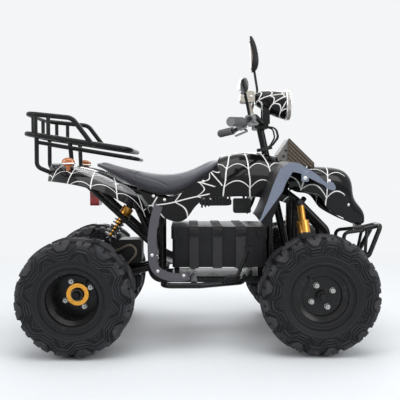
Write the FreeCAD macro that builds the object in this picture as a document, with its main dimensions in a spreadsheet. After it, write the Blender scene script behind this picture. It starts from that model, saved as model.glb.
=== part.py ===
import FreeCAD, Part
import math
import os

import Sketcher
from FreeCAD import Placement, Rotation, Vector

# Electric quad bike. Millimetres, +X forward, +Y to the rider's left, +Z up, ground at z = 0.
# The origin lies on the ground, midway between the rear of the rack and the front of the bumper.
SIZES = {
    # Wheels
    "rear_axle_x": -512,
    "wheelbase": 932,
    "rear_tyre_radius": 225,
    "rear_tyre_width": 235,
    "rear_wheel_y": 320,
    "front_tyre_radius": 232,
    "front_tyre_width": 175,
    "front_wheel_y": 337,
    "lug_depth": 13,
    "bead_radius": 104,
    "flange_radius": 115,
    "flange_thickness": 4,
    "rear_rim_width": 203,
    "front_rim_width": 140,
    "rim_wall": 4,
    "rear_disc_y": 285,
    "front_disc_y": 385,
    "disc_thickness": 6,
    "rear_bolt_circle": 110,
    "front_bolt_circle": 90,
    "nut_radius": 9,
    "nut_height": 14,
    "axle_radius": 16,
    "hub_radius": 72,
    "ring_outer_radius": 43,
    "ring_inner_radius": 27,
    "sprocket_radius": 64,
    "sprocket_y": -70,
    "brake_disc_radius": 78,
    "brake_disc_y": 95,
    # Frame
    "frame_tube_radius": 14,
    "rail_y": 105,
    "rail_height": 250,
    "rack_tube_radius": 10,
    "tube_bend": 45,
    # Steering
    "rake": 12.5,
    "column_x": 229,
    "bar_height": 890,
    "column_radius": 16,
    "bar_radius": 11,
    "grip_radius": 17,
    "grip_length": 118,
    "pod_x": 205,
    "bar_half_width": 355,
    "running_clearance": 0.05,
    "kingpin_y": 285,
    "kingpin_reach": 62,
    "steering_arm": 70,
    "mirror_length": 172,
    "mirror_width": 62,
    "mirror_thickness": 38,
    "pod_height": 981,
    "pod_radius": 62,
    "pod_length": 130,
    # Battery box
    "battery_rear_x": -148,
    "battery_length": 386,
    "battery_width": 300,
    "battery_bottom": 306,
    "battery_height": 118,
    "lid_height": 50,
    "strap_width": 38,
    "strap_thickness": 3,
    # Body panels
    "panel_thickness": 4,
    "trim_height": 42,
}

document = FreeCAD.newDocument("QuadBike")
sheet = document.addObject("Spreadsheet::Sheet", "Sizes")


class Size:
    """A length that carries the spreadsheet expression it comes from."""

    def __init__(self, value, text):
        self.value = float(value)
        self.text = text

    def __float__(self):
        return self.value

    def __neg__(self):
        return Size(-self.value, "(-1 * %s)" % self.text)

    def __add__(self, other):
        other = as_size(other)
        return Size(self.value + other.value, "(%s + %s)" % (self.text, other.text))

    def __sub__(self, other):
        other = as_size(other)
        return Size(self.value - other.value, "(%s - %s)" % (self.text, other.text))

    def __mul__(self, factor):
        return Size(self.value * factor, "(%s * %r)" % (self.text, factor))

    def __truediv__(self, divisor):
        return Size(self.value / divisor, "(%s / %r)" % (self.text, divisor))

    __radd__ = __add__
    __rmul__ = __mul__


def as_size(number):
    return number if isinstance(number, Size) else Size(number, repr(float(number)))


def fill_sheet():
    """Write each driving dimension in its own row, with its name as the alias."""
    sizes = {}
    for row, (name, value) in enumerate(SIZES.items(), 1):
        sheet.set("A%d" % row, name)
        sheet.set("B%d" % row, repr(value))
        sheet.setAlias("B%d" % row, name)
        sizes[name] = Size(value, "Sizes." + name)
    document.recompute()
    return sizes


S = fill_sheet()
N = {name: float(value) for name, value in SIZES.items()}

SIDES = {"left": 1, "right": -1}
TINY = 1e-9
BAR_Z = N["bar_height"]
RAKE = math.radians(N["rake"])
FRONT_AXLE_X = N["rear_axle_x"] + N["wheelbase"]
REAR_AXLE = Vector(N["rear_axle_x"], 0, N["rear_tyre_radius"])
FRONT_AXLE = Vector(FRONT_AXLE_X, 0, N["front_tyre_radius"])
STEER_AXIS = Vector(-math.sin(RAKE), 0, math.cos(RAKE))
STEER_BACK = Vector(-math.cos(RAKE), 0, -math.sin(RAKE))
COLUMN_TOP = Vector(N["column_x"], 0, N["bar_height"])


def bind(item, **properties):
    """Tie each property to its expression, or set it where it is a plain value."""
    for name, value in properties.items():
        if isinstance(value, Size):
            item.setExpression(name, value.text)
        else:
            setattr(item, name, value)
    return item


def facing(direction, origin=Vector()):
    """A placement at origin whose own Z axis points along direction."""
    return Placement(Vector(*origin), Rotation(Vector(0, 0, 1), Vector(*direction)))


def cylinder(name, start, direction, radius, height):
    item = document.addObject("Part::Cylinder", name)
    bind(item, Radius=as_size(radius), Height=as_size(height))
    item.Placement = facing(direction, start)
    return item


def rod(name, start, end, radius):
    """A round bar between two points."""
    start, end = Vector(*start), Vector(*end)
    return cylinder(name, start, end - start, radius, (end - start).Length)


def box(name, low, high):
    """A block between two opposite corners."""
    item = document.addObject("Part::Box", name)
    bind(item, Length=as_size(high[0] - low[0]), Width=as_size(high[1] - low[1]),
         Height=as_size(high[2] - low[2]))
    item.Placement = Placement(Vector(*low), Rotation())
    return item


def rounded(name, item, radius, axis=None):
    """Round the edges of a block, or only those that run along one axis."""
    document.recompute()
    fillet = document.addObject("Part::Fillet", name)
    fillet.Base = item
    chosen = []
    for number, edge in enumerate(item.Shape.Edges, 1):
        ends = edge.Vertexes
        along = (ends[-1].Point - ends[0].Point)
        if axis is None or abs(along.normalize().dot(Vector(*axis))) > 0.99:
            chosen.append((number, radius, radius))
    fillet.Edges = chosen
    return fillet


def route(points, bend):
    """Straight runs joined by tangent arcs."""
    points = [Vector(*point) for point in points]
    edges = []
    start = points[0]
    for before, corner, after in zip(points, points[1:], points[2:]):
        incoming = (corner - before).normalize()
        outgoing = (after - corner).normalize()
        turn = incoming.getAngle(outgoing)
        reach = min(bend * math.tan(turn / 2),
                    0.45 * min(before.distanceToPoint(corner), corner.distanceToPoint(after)))
        inward = (outgoing - incoming).normalize()
        radius = reach / math.tan(turn / 2)
        entry = corner - incoming * reach
        leave = corner + outgoing * reach
        middle = corner + inward * (radius / math.cos(turn / 2) - radius)
        edges.append(Part.LineSegment(start, entry).toShape())
        edges.append(Part.Arc(entry, middle, leave).toShape())
        start = leave
    edges.append(Part.LineSegment(start, points[-1]).toShape())
    return Part.Wire(edges)


def tube(name, points, radius, bend=None):
    """A bent round tube through the given points."""
    path = document.addObject("Part::Feature", name + "_path")
    path.Shape = route(points, N["tube_bend"] if bend is None else bend)
    ring = document.addObject("Part::Circle", name + "_ring")
    bind(ring, Radius=as_size(radius))
    ring.Placement = facing(Vector(*points[1]) - Vector(*points[0]), points[0])
    sweep = document.addObject("Part::Sweep", name)
    sweep.Sections = [ring]
    sweep.Spine = path
    sweep.Solid = True
    sweep.Frenet = False
    return sweep


def joined(label, items):
    """One welded or moulded piece."""
    if len(items) == 1:
        items[0].Label = label
        return items[0]
    item = document.addObject("Part::MultiFuse", label)
    item.Shapes = items
    item.Label = label
    return item


def together(label, items):
    """Like pieces that don't touch, kept under one name."""
    item = document.addObject("Part::Compound", label)
    item.Links = items
    item.Label = label
    return item


def less(label, base, tools):
    """A piece with others taken out of it."""
    item = document.addObject("Part::Cut", label)
    item.Base = base
    item.Tool = tools[0] if len(tools) == 1 else joined(label + "_tools", tools)
    item.Label = label
    return item


def trimmed(label, base, tools):
    """A panel cut back where it meets others: its largest solid is kept."""
    document.recompute()
    shape = base.Shape
    for tool in tools:
        shape = shape.cut(tool.Shape)
    item = feature(label, max(shape.Solids, key=lambda solid: solid.Volume))
    item.Label = label
    return item


def piece(label):
    """The finished piece that bears a label."""
    return document.getObjectsByLabel(label)[0]


def outline_sketch(body, role, outline, name):
    """A closed outline of straight lines, each corner held at its own sheet expression."""
    sketch = body.newObject("Sketcher::SketchObject", name)
    plane = next(item for item in body.Origin.OriginFeatures if item.Role == role)
    sketch.AttachmentSupport = [(plane, "")]
    sketch.MapMode = "FlatFace"
    corners = [(as_size(across), as_size(up)) for across, up in outline]
    count = len(corners)
    for index, (across, up) in enumerate(corners):
        next_across, next_up = corners[(index + 1) % count]
        sketch.addGeometry(Part.LineSegment(Vector(float(across), float(up), 0),
                                            Vector(float(next_across), float(next_up), 0)))
    for index in range(count):
        sketch.addConstraint(Sketcher.Constraint("Coincident", index, 2, (index + 1) % count, 1))
    for index, corner in enumerate(corners):
        for kind, size, axis in zip(("DistanceX", "DistanceY"), corner, (-2, -1)):
            if abs(float(size)) < TINY:
                sketch.addConstraint(Sketcher.Constraint("PointOnObject", index, 1, axis))
                continue
            number = sketch.addConstraint(Sketcher.Constraint(kind, -1, 1, index, 1, float(size)))
            sketch.setExpression("Constraints[%d]" % number, size.text)
    return sketch


def turned(name, outline):
    """A body of revolution about its own Y axis. The outline gives (radius, place along Y)."""
    body = document.addObject("PartDesign::Body", name)
    sketch = outline_sketch(body, "XY_Plane", outline, name + "_section")
    revolution = body.newObject("PartDesign::Revolution", name + "_turned")
    revolution.Profile = sketch
    revolution.ReferenceAxis = (sketch, ["V_Axis"])
    revolution.Angle = 360
    return body


def extruded(name, outline, width, role="XZ_Plane"):
    """An outline in side view, padded to both sides of its plane."""
    body = document.addObject("PartDesign::Body", name)
    sketch = outline_sketch(body, role, outline, name + "_outline")
    pad = body.newObject("PartDesign::Pad", name + "_pad")
    pad.Profile = sketch
    pad.Midplane = True
    bind(pad, Length=as_size(width))
    return body


def feature(name, shape, placement=None):
    item = document.addObject("Part::Feature", name)
    item.Shape = shape
    if placement:
        item.Placement = placement
    return item


def surface(points):
    """A smooth surface through a grid of points."""
    smooth = Part.BSplineSurface()
    smooth.interpolate(points)
    return smooth


def borders(smooth):
    """The four edges of a surface, in the same order for every surface."""
    first_u, last_u, first_v, last_v = smooth.bounds()
    curves = (smooth.uIso(first_u), smooth.uIso(last_u), smooth.vIso(first_v), smooth.vIso(last_v))
    return [curve.toShape() for curve in curves]


def normal_at(grid, row, column):
    """The unit normal of a grid of points, from the differences between its neighbours."""
    above = grid[max(row - 1, 0)][column]
    below = grid[min(row + 1, len(grid) - 1)][column]
    before = grid[row][max(column - 1, 0)]
    after = grid[row][min(column + 1, len(grid[0]) - 1)]
    return (below - above).cross(after - before).normalize()


def skin(name, formula, rows, columns, thickness):
    """A moulded sheet of even thickness: formula(u, v) gives its outer face, u and v from 0 to 1."""
    outer = [[Vector(*formula(i / rows, j / columns)) for j in range(columns + 1)] for i in range(rows + 1)]
    inner = []
    for i in range(rows + 1):
        inner.append([outer[i][j] - normal_at(outer, i, j) * thickness for j in range(columns + 1)])
    outside, inside = surface(outer), surface(inner)
    faces = [outside.toShape(), inside.toShape()]
    for above, below in zip(borders(outside), borders(inside)):
        faces.append(Part.makeRuledSurface(above, below))
    shell = Part.makeShell(faces)
    shell.sewShape()
    shell = shell.Shells[0] if shell.ShapeType != "Shell" else shell
    solid = Part.Solid(shell)
    if solid.Volume < 0:
        solid.reverse()
    return feature(name, solid)


def lofted(name, sections):
    """A solid through closed cross-sections, each a list of points."""
    wires = []
    for section in sections:
        curve = Part.BSplineCurve()
        curve.interpolate([Vector(*point) for point in section], PeriodicFlag=True)
        wires.append(Part.Wire(curve.toShape()))
    return feature(name, Part.makeLoft(wires, True, False))


def on_curve(points, amount):
    """A point at a share of the way along a smooth curve through the given points."""
    curve = Part.BSplineCurve()
    curve.interpolate([Vector(*point) for point in points])
    length = curve.length()
    return curve.value(curve.parameterAtDistance(length * min(max(amount, 0), 1), curve.FirstParameter))


# Wheels

def lug(name, radius, low, high, sweep, skew):
    """One tread block: a wedge of the tread's ring between two places across the tyre."""
    depth = N["lug_depth"] + 14
    half = math.radians(sweep) / 2
    corners = []
    for across, turn in ((low, 0), (high, math.radians(skew))):
        for level in (radius - depth, radius):
            for side in (-half, half):
                angle = turn + side - math.pi / 2
                corners.append(Vector(level * math.cos(angle), across, level * math.sin(angle)))
    a, b, c, d, e, f, g, h = corners
    quads = ((a, b, d, c), (e, f, h, g), (a, b, f, e), (c, d, h, g), (a, c, g, e), (b, d, h, f))
    faces = []
    for quad in quads:
        loop = Part.makePolygon(list(quad) + [quad[0]])
        side_face = Part.makeFilledFace(loop.Edges) if not is_flat(quad) else Part.Face(loop)
        faces.append(side_face)
    shell = Part.makeShell(faces)
    shell.sewShape()
    solid = Part.Solid(shell)
    if solid.Volume < 0:
        solid.reverse()
    return solid


def is_flat(quad):
    a, b, c, d = quad
    normal = (b - a).cross(c - a).normalize()
    return abs((d - a).dot(normal)) < 1e-6


def tyre(label, radius, width, rim_width, repeats, centre):
    """The carcass is turned, and its lugs stand on it in rows that repeat around it."""
    half_rim = rim_width / 2
    half = width / 2
    tread = radius - S["lug_depth"]
    side = [
        (S["bead_radius"], half_rim),
        (S["flange_radius"] + 1, half_rim),
        (S["flange_radius"] + 18, half - 5),
        (S["flange_radius"] + 45, half),
        (tread - 26, half - 1),
        (tread - 5, half - 16),
        (tread, half * 0.45),
    ]
    outline = side + [(reach, -across) for reach, across in reversed(side)]
    carcass = turned(label + "_carcass", outline)
    pitch = 360 / repeats
    outer_radius = float(radius)
    half_width = float(half)
    solids = []
    for index in range(repeats):
        for flank in (-1, 1):
            shift = pitch / 4 * flank
            shoulder = lug(label, outer_radius - 3, flank * half_width * 0.52, flank * (half_width + 1),
                           pitch * 0.5, 0)
            middle = lug(label, outer_radius, flank * half_width * 0.06, flank * half_width * 0.46,
                         pitch * 0.42, pitch * 0.2)
            for solid, turn in ((shoulder, shift), (middle, -shift)):
                copy = solid.copy()
                copy.rotate(Vector(), Vector(0, 1, 0), index * pitch + turn)
                solids.append(copy)
    lugs = feature(label + "_lugs", Part.makeCompound(solids))
    document.recompute()
    whole = joined(label, [carcass, lugs])
    whole.Placement = Placement(centre, Rotation())
    return whole


def rim(label, side, width, disc_y, wheel_y, disc_radius, bolt_circle, bore, centre):
    """A pressed steel rim: barrel, two flanges, and a disc at its offset."""
    half = width / 2
    wall = S["rim_wall"]
    bead = S["bead_radius"]
    edge = S["flange_radius"]
    lip = S["flange_thickness"]
    disc = (disc_y - wheel_y) * side
    face = S["disc_thickness"] / 2
    well = bead - 14
    barrel = [
        (bead, half), (edge, half), (edge, half + lip), (bead - wall, half + lip), (bead - wall, half - 22),
        (well - wall, half - 36), (well - wall, -half + 36), (bead - wall, -half + 22),
        (bead - wall, -half - lip),
        (edge, -half - lip), (edge, -half), (bead, -half), (bead, -half + 26), (well, -half + 40),
        (well, half - 40),
        (bead, half - 26),
    ]
    ring = turned(label + "_barrel", barrel)
    plate = turned(label + "_disc", [
        (bore, disc - face), (disc_radius, disc - face), (disc_radius, disc + face), (bore, disc + face),
    ])
    nuts = []
    for index in range(4):
        angle = math.radians(27.6 + 90 * index)
        spot = Vector(
            float(bolt_circle) / 2 * math.cos(angle), float(disc) + side * float(face) - side * 1,
            float(bolt_circle) / 2 * math.sin(angle),
        )
        nuts.append(cylinder("%s_nut_%d" % (label, index), spot, (0, side, 0), S["nut_radius"],
                             S["nut_height"]))
    whole = joined(label, [ring, plate] + nuts)
    whole.Placement = Placement(centre, Rotation())
    return whole


def rear_wheels():
    axle_length = (N["rear_disc_y"] - N["disc_thickness"] / 2 - 10) * 2
    parts = []
    for name, side in SIDES.items():
        centre = REAR_AXLE + Vector(0, side * N["rear_wheel_y"], 0)
        tyre("rear_tyre_" + name, S["rear_tyre_radius"], S["rear_tyre_width"], S["rear_rim_width"], 8,
             centre)
        rim("rear_rim_" + name, side, S["rear_rim_width"], S["rear_disc_y"], S["rear_wheel_y"],
            S["bead_radius"] - 11,
            S["rear_bolt_circle"], S["ring_inner_radius"] - 5, centre)
        inner = N["rear_disc_y"] - N["disc_thickness"] / 2
        hub = cylinder("rear_hub_%s_flange" % name, REAR_AXLE + Vector(0, side * (inner - 12), 0),
                       (0, side, 0),
                       S["hub_radius"], 12)
        boss = cylinder("rear_hub_%s_boss" % name, REAR_AXLE + Vector(0, side * (inner - 60), 0),
                        (0, side, 0), 32, 60)
        nose = cylinder("rear_hub_%s_nose" % name, REAR_AXLE + Vector(0, side * (inner - 1), 0),
                        (0, side, 0),
                        S["ring_inner_radius"] - 5, 40)
        parts += [hub, boss, nose]
    shaft = cylinder("rear_axle_shaft", REAR_AXLE + Vector(0, -axle_length / 2, 0), (0, 1, 0),
                     S["axle_radius"],
                     axle_length)
    disc = cylinder("rear_axle_brake_disc", REAR_AXLE + Vector(0, N["brake_disc_y"], 0), (0, 1, 0),
                    S["brake_disc_radius"], 5)
    sprocket = cylinder("rear_axle_sprocket", REAR_AXLE + Vector(0, N["sprocket_y"] - 3, 0), (0, 1, 0),
                        S["sprocket_radius"], 6)
    carriers = [
        cylinder("rear_axle_disc_carrier", REAR_AXLE + Vector(0, N["brake_disc_y"] - 8, 0), (0, 1, 0),
                 38, 16),
        cylinder("rear_axle_sprocket_carrier", REAR_AXLE + Vector(0, N["sprocket_y"] - 11, 0), (0, 1, 0),
                 38, 16),
    ]
    joined("rear_axle", parts + [shaft, disc, sprocket] + carriers)
    rings = []
    for name, side in SIDES.items():
        face = N["rear_disc_y"] + N["disc_thickness"] / 2
        outer = cylinder("hub_ring_%s_outer" % name, REAR_AXLE + Vector(0, side * face, 0), (0, side, 0),
                         S["ring_outer_radius"], 16)
        inner = cylinder("hub_ring_%s_inner" % name, REAR_AXLE + Vector(0, side * (face - 1), 0),
                         (0, side, 0),
                         S["ring_inner_radius"], 18)
        rings.append(less("hub_ring_" + name, outer, [inner]))
    together("hub_rings", rings)


def front_wheels():
    for name, side in SIDES.items():
        centre = FRONT_AXLE + Vector(0, side * N["front_wheel_y"], 0)
        tyre("front_tyre_" + name, S["front_tyre_radius"], S["front_tyre_width"], S["front_rim_width"],
             10, centre)
        rim("front_rim_" + name, side, S["front_rim_width"], S["front_disc_y"], S["front_wheel_y"],
            S["bead_radius"] - S["rim_wall"] / 2,
            S["front_bolt_circle"], S["axle_radius"] + S["running_clearance"], centre)


def kingpin(side, up=0, back=0, across=0):
    """A point by the kingpin: up along its axis, back and inboard across it."""
    foot = FRONT_AXLE + Vector(0, side * (N["kingpin_y"] - across), 0)
    return foot + STEER_AXIS * up + STEER_BACK * back


def column_point(height, back=0, across=0):
    """A point by the steering column at a height along its axis that matches the kingpins' own."""
    level = (FRONT_AXLE - COLUMN_TOP).dot(STEER_AXIS) + height
    return COLUMN_TOP + STEER_AXIS * level + STEER_BACK * back + Vector(0, across, 0)


def knuckles():
    reach = N["kingpin_reach"]
    inner = N["front_disc_y"] - N["disc_thickness"] / 2
    for name, side in SIDES.items():
        post = cylinder("knuckle_%s_post" % name, kingpin(side, 11.3 - reach), STEER_AXIS, 15,
                        2 * reach - 22.6)
        pin = cylinder("knuckle_%s_pin" % name, kingpin(side, -reach - 10), STEER_AXIS, 8, 2 * reach + 20)
        stub = cylinder("knuckle_%s_stub" % name, kingpin(side), (0, side, 0), S["axle_radius"],
                        N["front_disc_y"] + 22 - N["kingpin_y"])
        drum = cylinder("knuckle_%s_drum" % name, FRONT_AXLE + Vector(0, side * (inner - 56), 0),
                        (0, side, 0), 68, 48)
        arm = rod("knuckle_%s_arm" % name, kingpin(side), kingpin(side, 0, N["steering_arm"], 0), 9)
        eye = cylinder("knuckle_%s_eye" % name, kingpin(side, -9, N["steering_arm"], 0), STEER_AXIS, 12, 18)
        joined("knuckle_" + name, [post, pin, stub, drum, arm, eye])


def tie_rods():
    back = N["steering_arm"]
    for name, side in SIDES.items():
        lift = 18 * side
        inner = column_point(lift, back)
        outer = kingpin(side, lift, back)
        inner_eye = cylinder("tie_rod_%s_inner" % name, inner - STEER_AXIS * 8, STEER_AXIS, 11, 16)
        outer_eye = cylinder("tie_rod_%s_outer" % name, outer - STEER_AXIS * 8, STEER_AXIS, 11, 16)
        along = (outer - inner).normalize() * 7
        bar = rod("tie_rod_%s_bar" % name, inner + along, outer - along, 6)
        joined("tie_rod_" + name, [inner_eye, outer_eye, bar])


def suspension_arms():
    """Upper and lower A-arms, each a V of two tubes from its frame pivots to its ball joint."""
    arms = []
    for name, side in SIDES.items():
        for level, height in (("upper", 1), ("lower", -1)):
            end = kingpin(side, height * N["kingpin_reach"])
            socket = cylinder("arm_%s_%s_socket" % (level, name), end - STEER_AXIS * 11, STEER_AXIS, 18, 22)
            bore = cylinder("arm_%s_%s_bore" % (level, name), end - STEER_AXIS * 12, STEER_AXIS,
                            8 + N["running_clearance"], 24)
            pieces = [socket]
            for place in (-48, 85):
                pivot = Vector(FRONT_AXLE_X + place, side * 108.3, end.z + height * 6)
                foot = Vector(end.x, end.y - side * 20, end.z)
                pieces.append(rod("arm_%s_%s_leg_%d" % (level, name, place), pivot, foot, 10))
                pieces.append(cylinder("arm_%s_%s_pivot_%d" % (level, name, place), pivot - Vector(20, 0, 0),
                                       (1, 0, 0), 14, 40))
            pieces.append(rod("arm_%s_%s_root" % (level, name), Vector(end.x, end.y - side * 28, end.z),
                              end, 10))
            whole = joined("arm_%s_%s_whole" % (level, name), pieces)
            arms.append(less("arm_%s_%s" % (level, name), whole, [bore]))
    together("suspension_arms", arms)


def shock_line(kind, side=0):
    if kind == "rear":
        return Vector(-434, 0, 404), Vector(-330, 0, 560)
    return Vector(FRONT_AXLE_X - 10, side * 196, 318), Vector(FRONT_AXLE_X - 38, side * 128, 574)


def coil(name, start, end, radius, wire, turns):
    """A coil spring as a helix of round wire between two points."""
    axis = end - start
    pitch = axis.Length / turns
    helix = Part.makeHelix(pitch, axis.Length, radius)
    circle = Part.Wire(Part.makeCircle(wire, Vector(radius, 0, 0), Vector(0, 1, 0)))
    solid = Part.Wire(helix).makePipeShell([circle], True, True)
    return feature(name, solid, facing(axis, start))


def shocks():
    """Each shock: a shaft in a body, a coil between two seats, and a collar over the upper seat."""
    dampers = []
    springs = []
    lines = {"rear": shock_line("rear") + (0.66, 36, 24)}
    for name, side in SIDES.items():
        lines["front_" + name] = shock_line("front", side) + (0.47, 52, 26)
    for name, (low, high, share, collar_length, collar_radius) in lines.items():
        along = (high - low).normalize()
        length = (high - low).Length
        seat = length * share
        body = rod("damper_%s_body" % name, low + along * seat * 0.7, high - along * 6, 15)
        shaft = rod("damper_%s_shaft" % name, low + along * 6, low + along * seat * 0.8, 7)
        seat_low = cylinder("damper_%s_seat_low" % name, low + along * 22, along, 27, 6)
        seat_high = cylinder("damper_%s_seat_high" % name, low + along * seat, along, 27, 10)
        eyes = [cylinder("damper_%s_eye_%d" % (name, index), spot - Vector(0, 17, 0), (0, 1, 0), 12, 34)
                for index, spot in enumerate((low, high))]
        dampers.append(joined("damper_" + name, [body, shaft, seat_low, seat_high] + eyes))
        springs.append(coil("spring_" + name, low + along * 31.5, low + along * (seat - 3.5), 22, 3.2, 6))
        collar = cylinder("collar_%s_outer" % name, low + along * (seat + 10), along, collar_radius,
                          collar_length)
        core = cylinder("collar_%s_core" % name, low + along * (seat + 9), along, 15, collar_length + 2)
        springs.append(less("collar_" + name, collar, [core]))
    together("dampers", dampers)
    together("coil_springs", springs)


# Frame

def frame_cradle():
    radius = S["frame_tube_radius"]
    rail = N["rail_y"]
    level = N["rail_height"]
    pieces = []
    for name, side in SIDES.items():
        pieces.append(tube("cradle_" + name, [
            (-372, side * 80, 640), (-301, side * 92, 566), (-240, side * rail, 430),
            (-236, side * rail, level),
            (262, side * rail, level), (262, side * 60, 640),
        ], radius))
        pieces.append(rod("cradle_post_" + name, (-193, side * 104, level), (-193, side * 78, 584),
                          radius - 1))
        pieces.append(rod("cradle_head_" + name, (262, side * 34, 640), (262, side * 60, 640), radius))
    for index, place in enumerate((-190, -20, 150)):
        pieces.append(rod("cradle_cross_%d" % index, (place, -rail, level), (place, rail, level), radius))
    pieces.append(box("cradle_tray", (-150, -120, N["rail_height"] + 10), (240, 120, N["rail_height"] + 14)))
    for index, place in enumerate((-130, 220)):
        pieces.append(box("cradle_rest_%d" % index, (place - 10, -rail, N["rail_height"] + 5),
                          (place + 10, rail, N["battery_bottom"])))
    joined("frame_cradle", pieces)


def rear_subframe():
    radius = S["frame_tube_radius"] - 2
    pieces = []
    for name, side in SIDES.items():
        pieces.append(tube("subframe_lower_" + name, [
            (-655, side * 98, 695), (-503, side * 98, 645), (-240, side * 104, 402),
        ], radius))
        pieces.append(tube("subframe_seat_" + name, [
            (-500, side * 72, 644), (-372, side * 76, 640), (-160, side * 78, 579), (40, side * 60, 636),
            (262, side * 44, 640),
        ], radius - 1))
    for index, (place, height) in enumerate(((-500, 644), (-300, 619), (60, 636.4))):
        reach = (98, 76, 58)[index]
        pieces.append(rod("subframe_cross_%d" % index, (place, -reach, height), (place, reach, height),
                          radius))
    pieces.append(rod("subframe_shock_cross", (-318, -92, 584), (-318, 92, 584), radius))
    for name, side in SIDES.items():
        pieces.append(box("subframe_shock_ear_" + name, (-342, side * 19.5 - 2.5, 548),
                          (-308, side * 19.5 + 2.5, 590)))
    less("rear_subframe", joined("rear_subframe_whole", pieces), [piece("frame_cradle")])


def front_frame():
    radius = S["frame_tube_radius"] + 2
    pieces = []
    for name, side in SIDES.items():
        pieces.append(tube("front_frame_strut_" + name, [
            (262, side * 60, 640), (322, side * 78, 620), (392, side * 78, 566), (505, side * 78, 452),
            (505, side * 78, 200),
        ], radius))
        pieces.append(tube("front_frame_floor_" + name, [
            (262, side * 92, 262), (266, side * 78, 150), (505, side * 78, 150), (505, side * 78, 215),
        ], radius))
        pieces.append(rod("front_frame_mid_" + name, (372, side * 78, 152), (372, side * 78, 576), radius))
        pieces.append(rod("front_frame_tower_" + name, (372, side * 78, 535), (400, side * 128, 590), 11))
    for index, (place, height) in enumerate(((505, 400), (505, 180), (440, 150))):
        pieces.append(rod("front_frame_cross_%d" % index, (place, -78, height), (place, 78, height), radius))
    whole = joined("front_frame_whole", pieces)
    clear = rod("front_frame_clear", column_point(-90), column_point(420), 20)
    less("front_frame", whole, [clear, piece("frame_cradle"), piece("rear_subframe"), piece("dampers")])


def steering_bushes():
    """The two bushes in which the column turns, on brackets from the frame."""
    pieces = []
    for index, (height, lift) in enumerate(((-52, -8), (385, 14))):
        centre = column_point(height)
        outer = cylinder("bush_%d_outer" % index, centre - STEER_AXIS * 14, STEER_AXIS, 26, 28)
        low = centre.z + lift - 9
        bridge = box("bush_%d_bridge" % index, (centre.x - 12, -78, low), (centre.x + 12, 78, low + 18))
        whole = joined("bush_%d_whole" % index, [outer, bridge])
        bore = cylinder("bush_%d_bore" % index, centre - STEER_AXIS * 40, STEER_AXIS,
                        S["column_radius"] + S["running_clearance"], 80)
        pieces.append(less("bush_%d" % index, whole, [bore, piece("front_frame")]))
    together("steering_bushes", pieces)


def front_bumper():
    """A hoop that rises from the lower frame, with rails back to a cross tube under the beak."""
    radius = 10
    hoop = [(521, -78, 232), (640, -84, 318), (688, -80, 346), (744, -55, 468)]
    pieces = [tube("bumper_hoop", hoop + [(x, -y, z) for x, y, z in reversed(hoop)], radius, 26)]
    pieces.append(rod("bumper_top_cross", (664, -62, 450), (664, 62, 450), 9))
    pieces.append(rod("bumper_low_cross", (686, -80, 348), (686, 80, 348), 8))
    for name, side in SIDES.items():
        pieces.append(rod("bumper_rail_" + name, (744, side * 36, 468), (664, side * 36, 450), 9))
        pieces.append(rod("bumper_post_" + name, (676, side * 62, 348), (690, side * 36, 455), 7))
        pieces.append(tube("bumper_stay_" + name, [
            (596, side * 82, 288), (578, side * 74, 440), (664, side * 58, 450),
        ], 8, 24))
    less("front_bumper", joined("front_bumper_whole", pieces), [piece("front_frame")])


def rack():
    radius = S["rack_tube_radius"]
    deck_rise = 0.155
    rear = -738
    front = -314

    def deck(place):
        return 833 - deck_rise * (place + 600)

    deck_pieces = [tube("deck_loop", [
        (front, 0, deck(front)), (front, 205, deck(front)), (rear, 205, deck(rear)),
        (rear, -205, deck(rear)),
        (front, -205, deck(front)), (front, 0, deck(front)),
    ], radius, 60)]
    for index, across in enumerate((-123, -41, 41, 123)):
        thickness = 10.5 if abs(across) == 123 else 7
        deck_pieces.append(rod("deck_bar_%d" % index, (rear, across, deck(rear)),
                               (front, across, deck(front)), thickness))
    joined("rack_deck", deck_pieces)
    guard_pieces = [tube("guard_rail", [
        (-474, -205, deck(-474) + 6), (-545, -205, 914), (-727, -205, 932), (-727, 205, 932),
        (-545, 205, 914),
        (-474, 205, deck(-474) + 6),
    ], radius, 45)]
    for index, (place, across) in enumerate(((-727, -90), (-727, 90), (-690, -205), (-690, 205),
                                             (-640, -205), (-640, 205))):
        top = 932 if place == -727 else 914 - (place + 545) * 0.0989
        guard_pieces.append(rod("guard_post_%d" % index, (place, across, deck(place) + 8),
                                (place, across, top), 8))
    less("rack_guard", joined("rack_guard_whole", guard_pieces), [piece("rack_deck")])
    leg_pieces = []
    for name, side in SIDES.items():
        leg_pieces.append(tube("rack_leg_rear_" + name, [
            (-706, side * 123, deck(-706)), (-706, side * 123, 720), (-630, side * 98, 687),
        ], 9, 30))
        leg_pieces.append(rod("rack_leg_front_" + name, (-570, side * 123, deck(-570)),
                              (-560, side * 98, 664), 9))
    leg_pieces.append(tube("rack_under_loop", [
        (-706, -123, 822), (-290, -123, 753), (-290, 123, 753), (-706, 123, 822),
    ], 8, 40))
    less("rack_legs", joined("rack_legs_whole", leg_pieces), [piece("rack_deck"), piece("rear_subframe")])


def swing_arm():
    pivot = Vector(-222, 0, 300)
    pieces = []
    for name, side in SIDES.items():
        pieces.append(rod("swing_beam_" + name, (pivot.x, side * 45, pivot.z),
                          (REAR_AXLE.x, side * 45, REAR_AXLE.z), 17))
    pieces.append(cylinder("swing_pivot", pivot - Vector(0, N["rail_y"], 0), (0, 1, 0), 20, S["rail_y"] * 2))
    pieces.append(box("swing_motor_rest", (-376, -30, 255), (-290, 30, 312)))
    pieces.append(cylinder("swing_carrier", REAR_AXLE - Vector(0, 55, 0), (0, 1, 0), 45, 110))
    pieces.append(box("swing_mount", (-460, -18, 262), (-420, 18, 402)))
    whole = joined("swing_arm_whole", pieces)
    bore = cylinder("swing_bore", REAR_AXLE - Vector(0, 70, 0), (0, 1, 0),
                    S["axle_radius"] + S["running_clearance"], 140)
    less("swing_arm", whole, [bore, piece("frame_cradle"), piece("dampers")])


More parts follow.
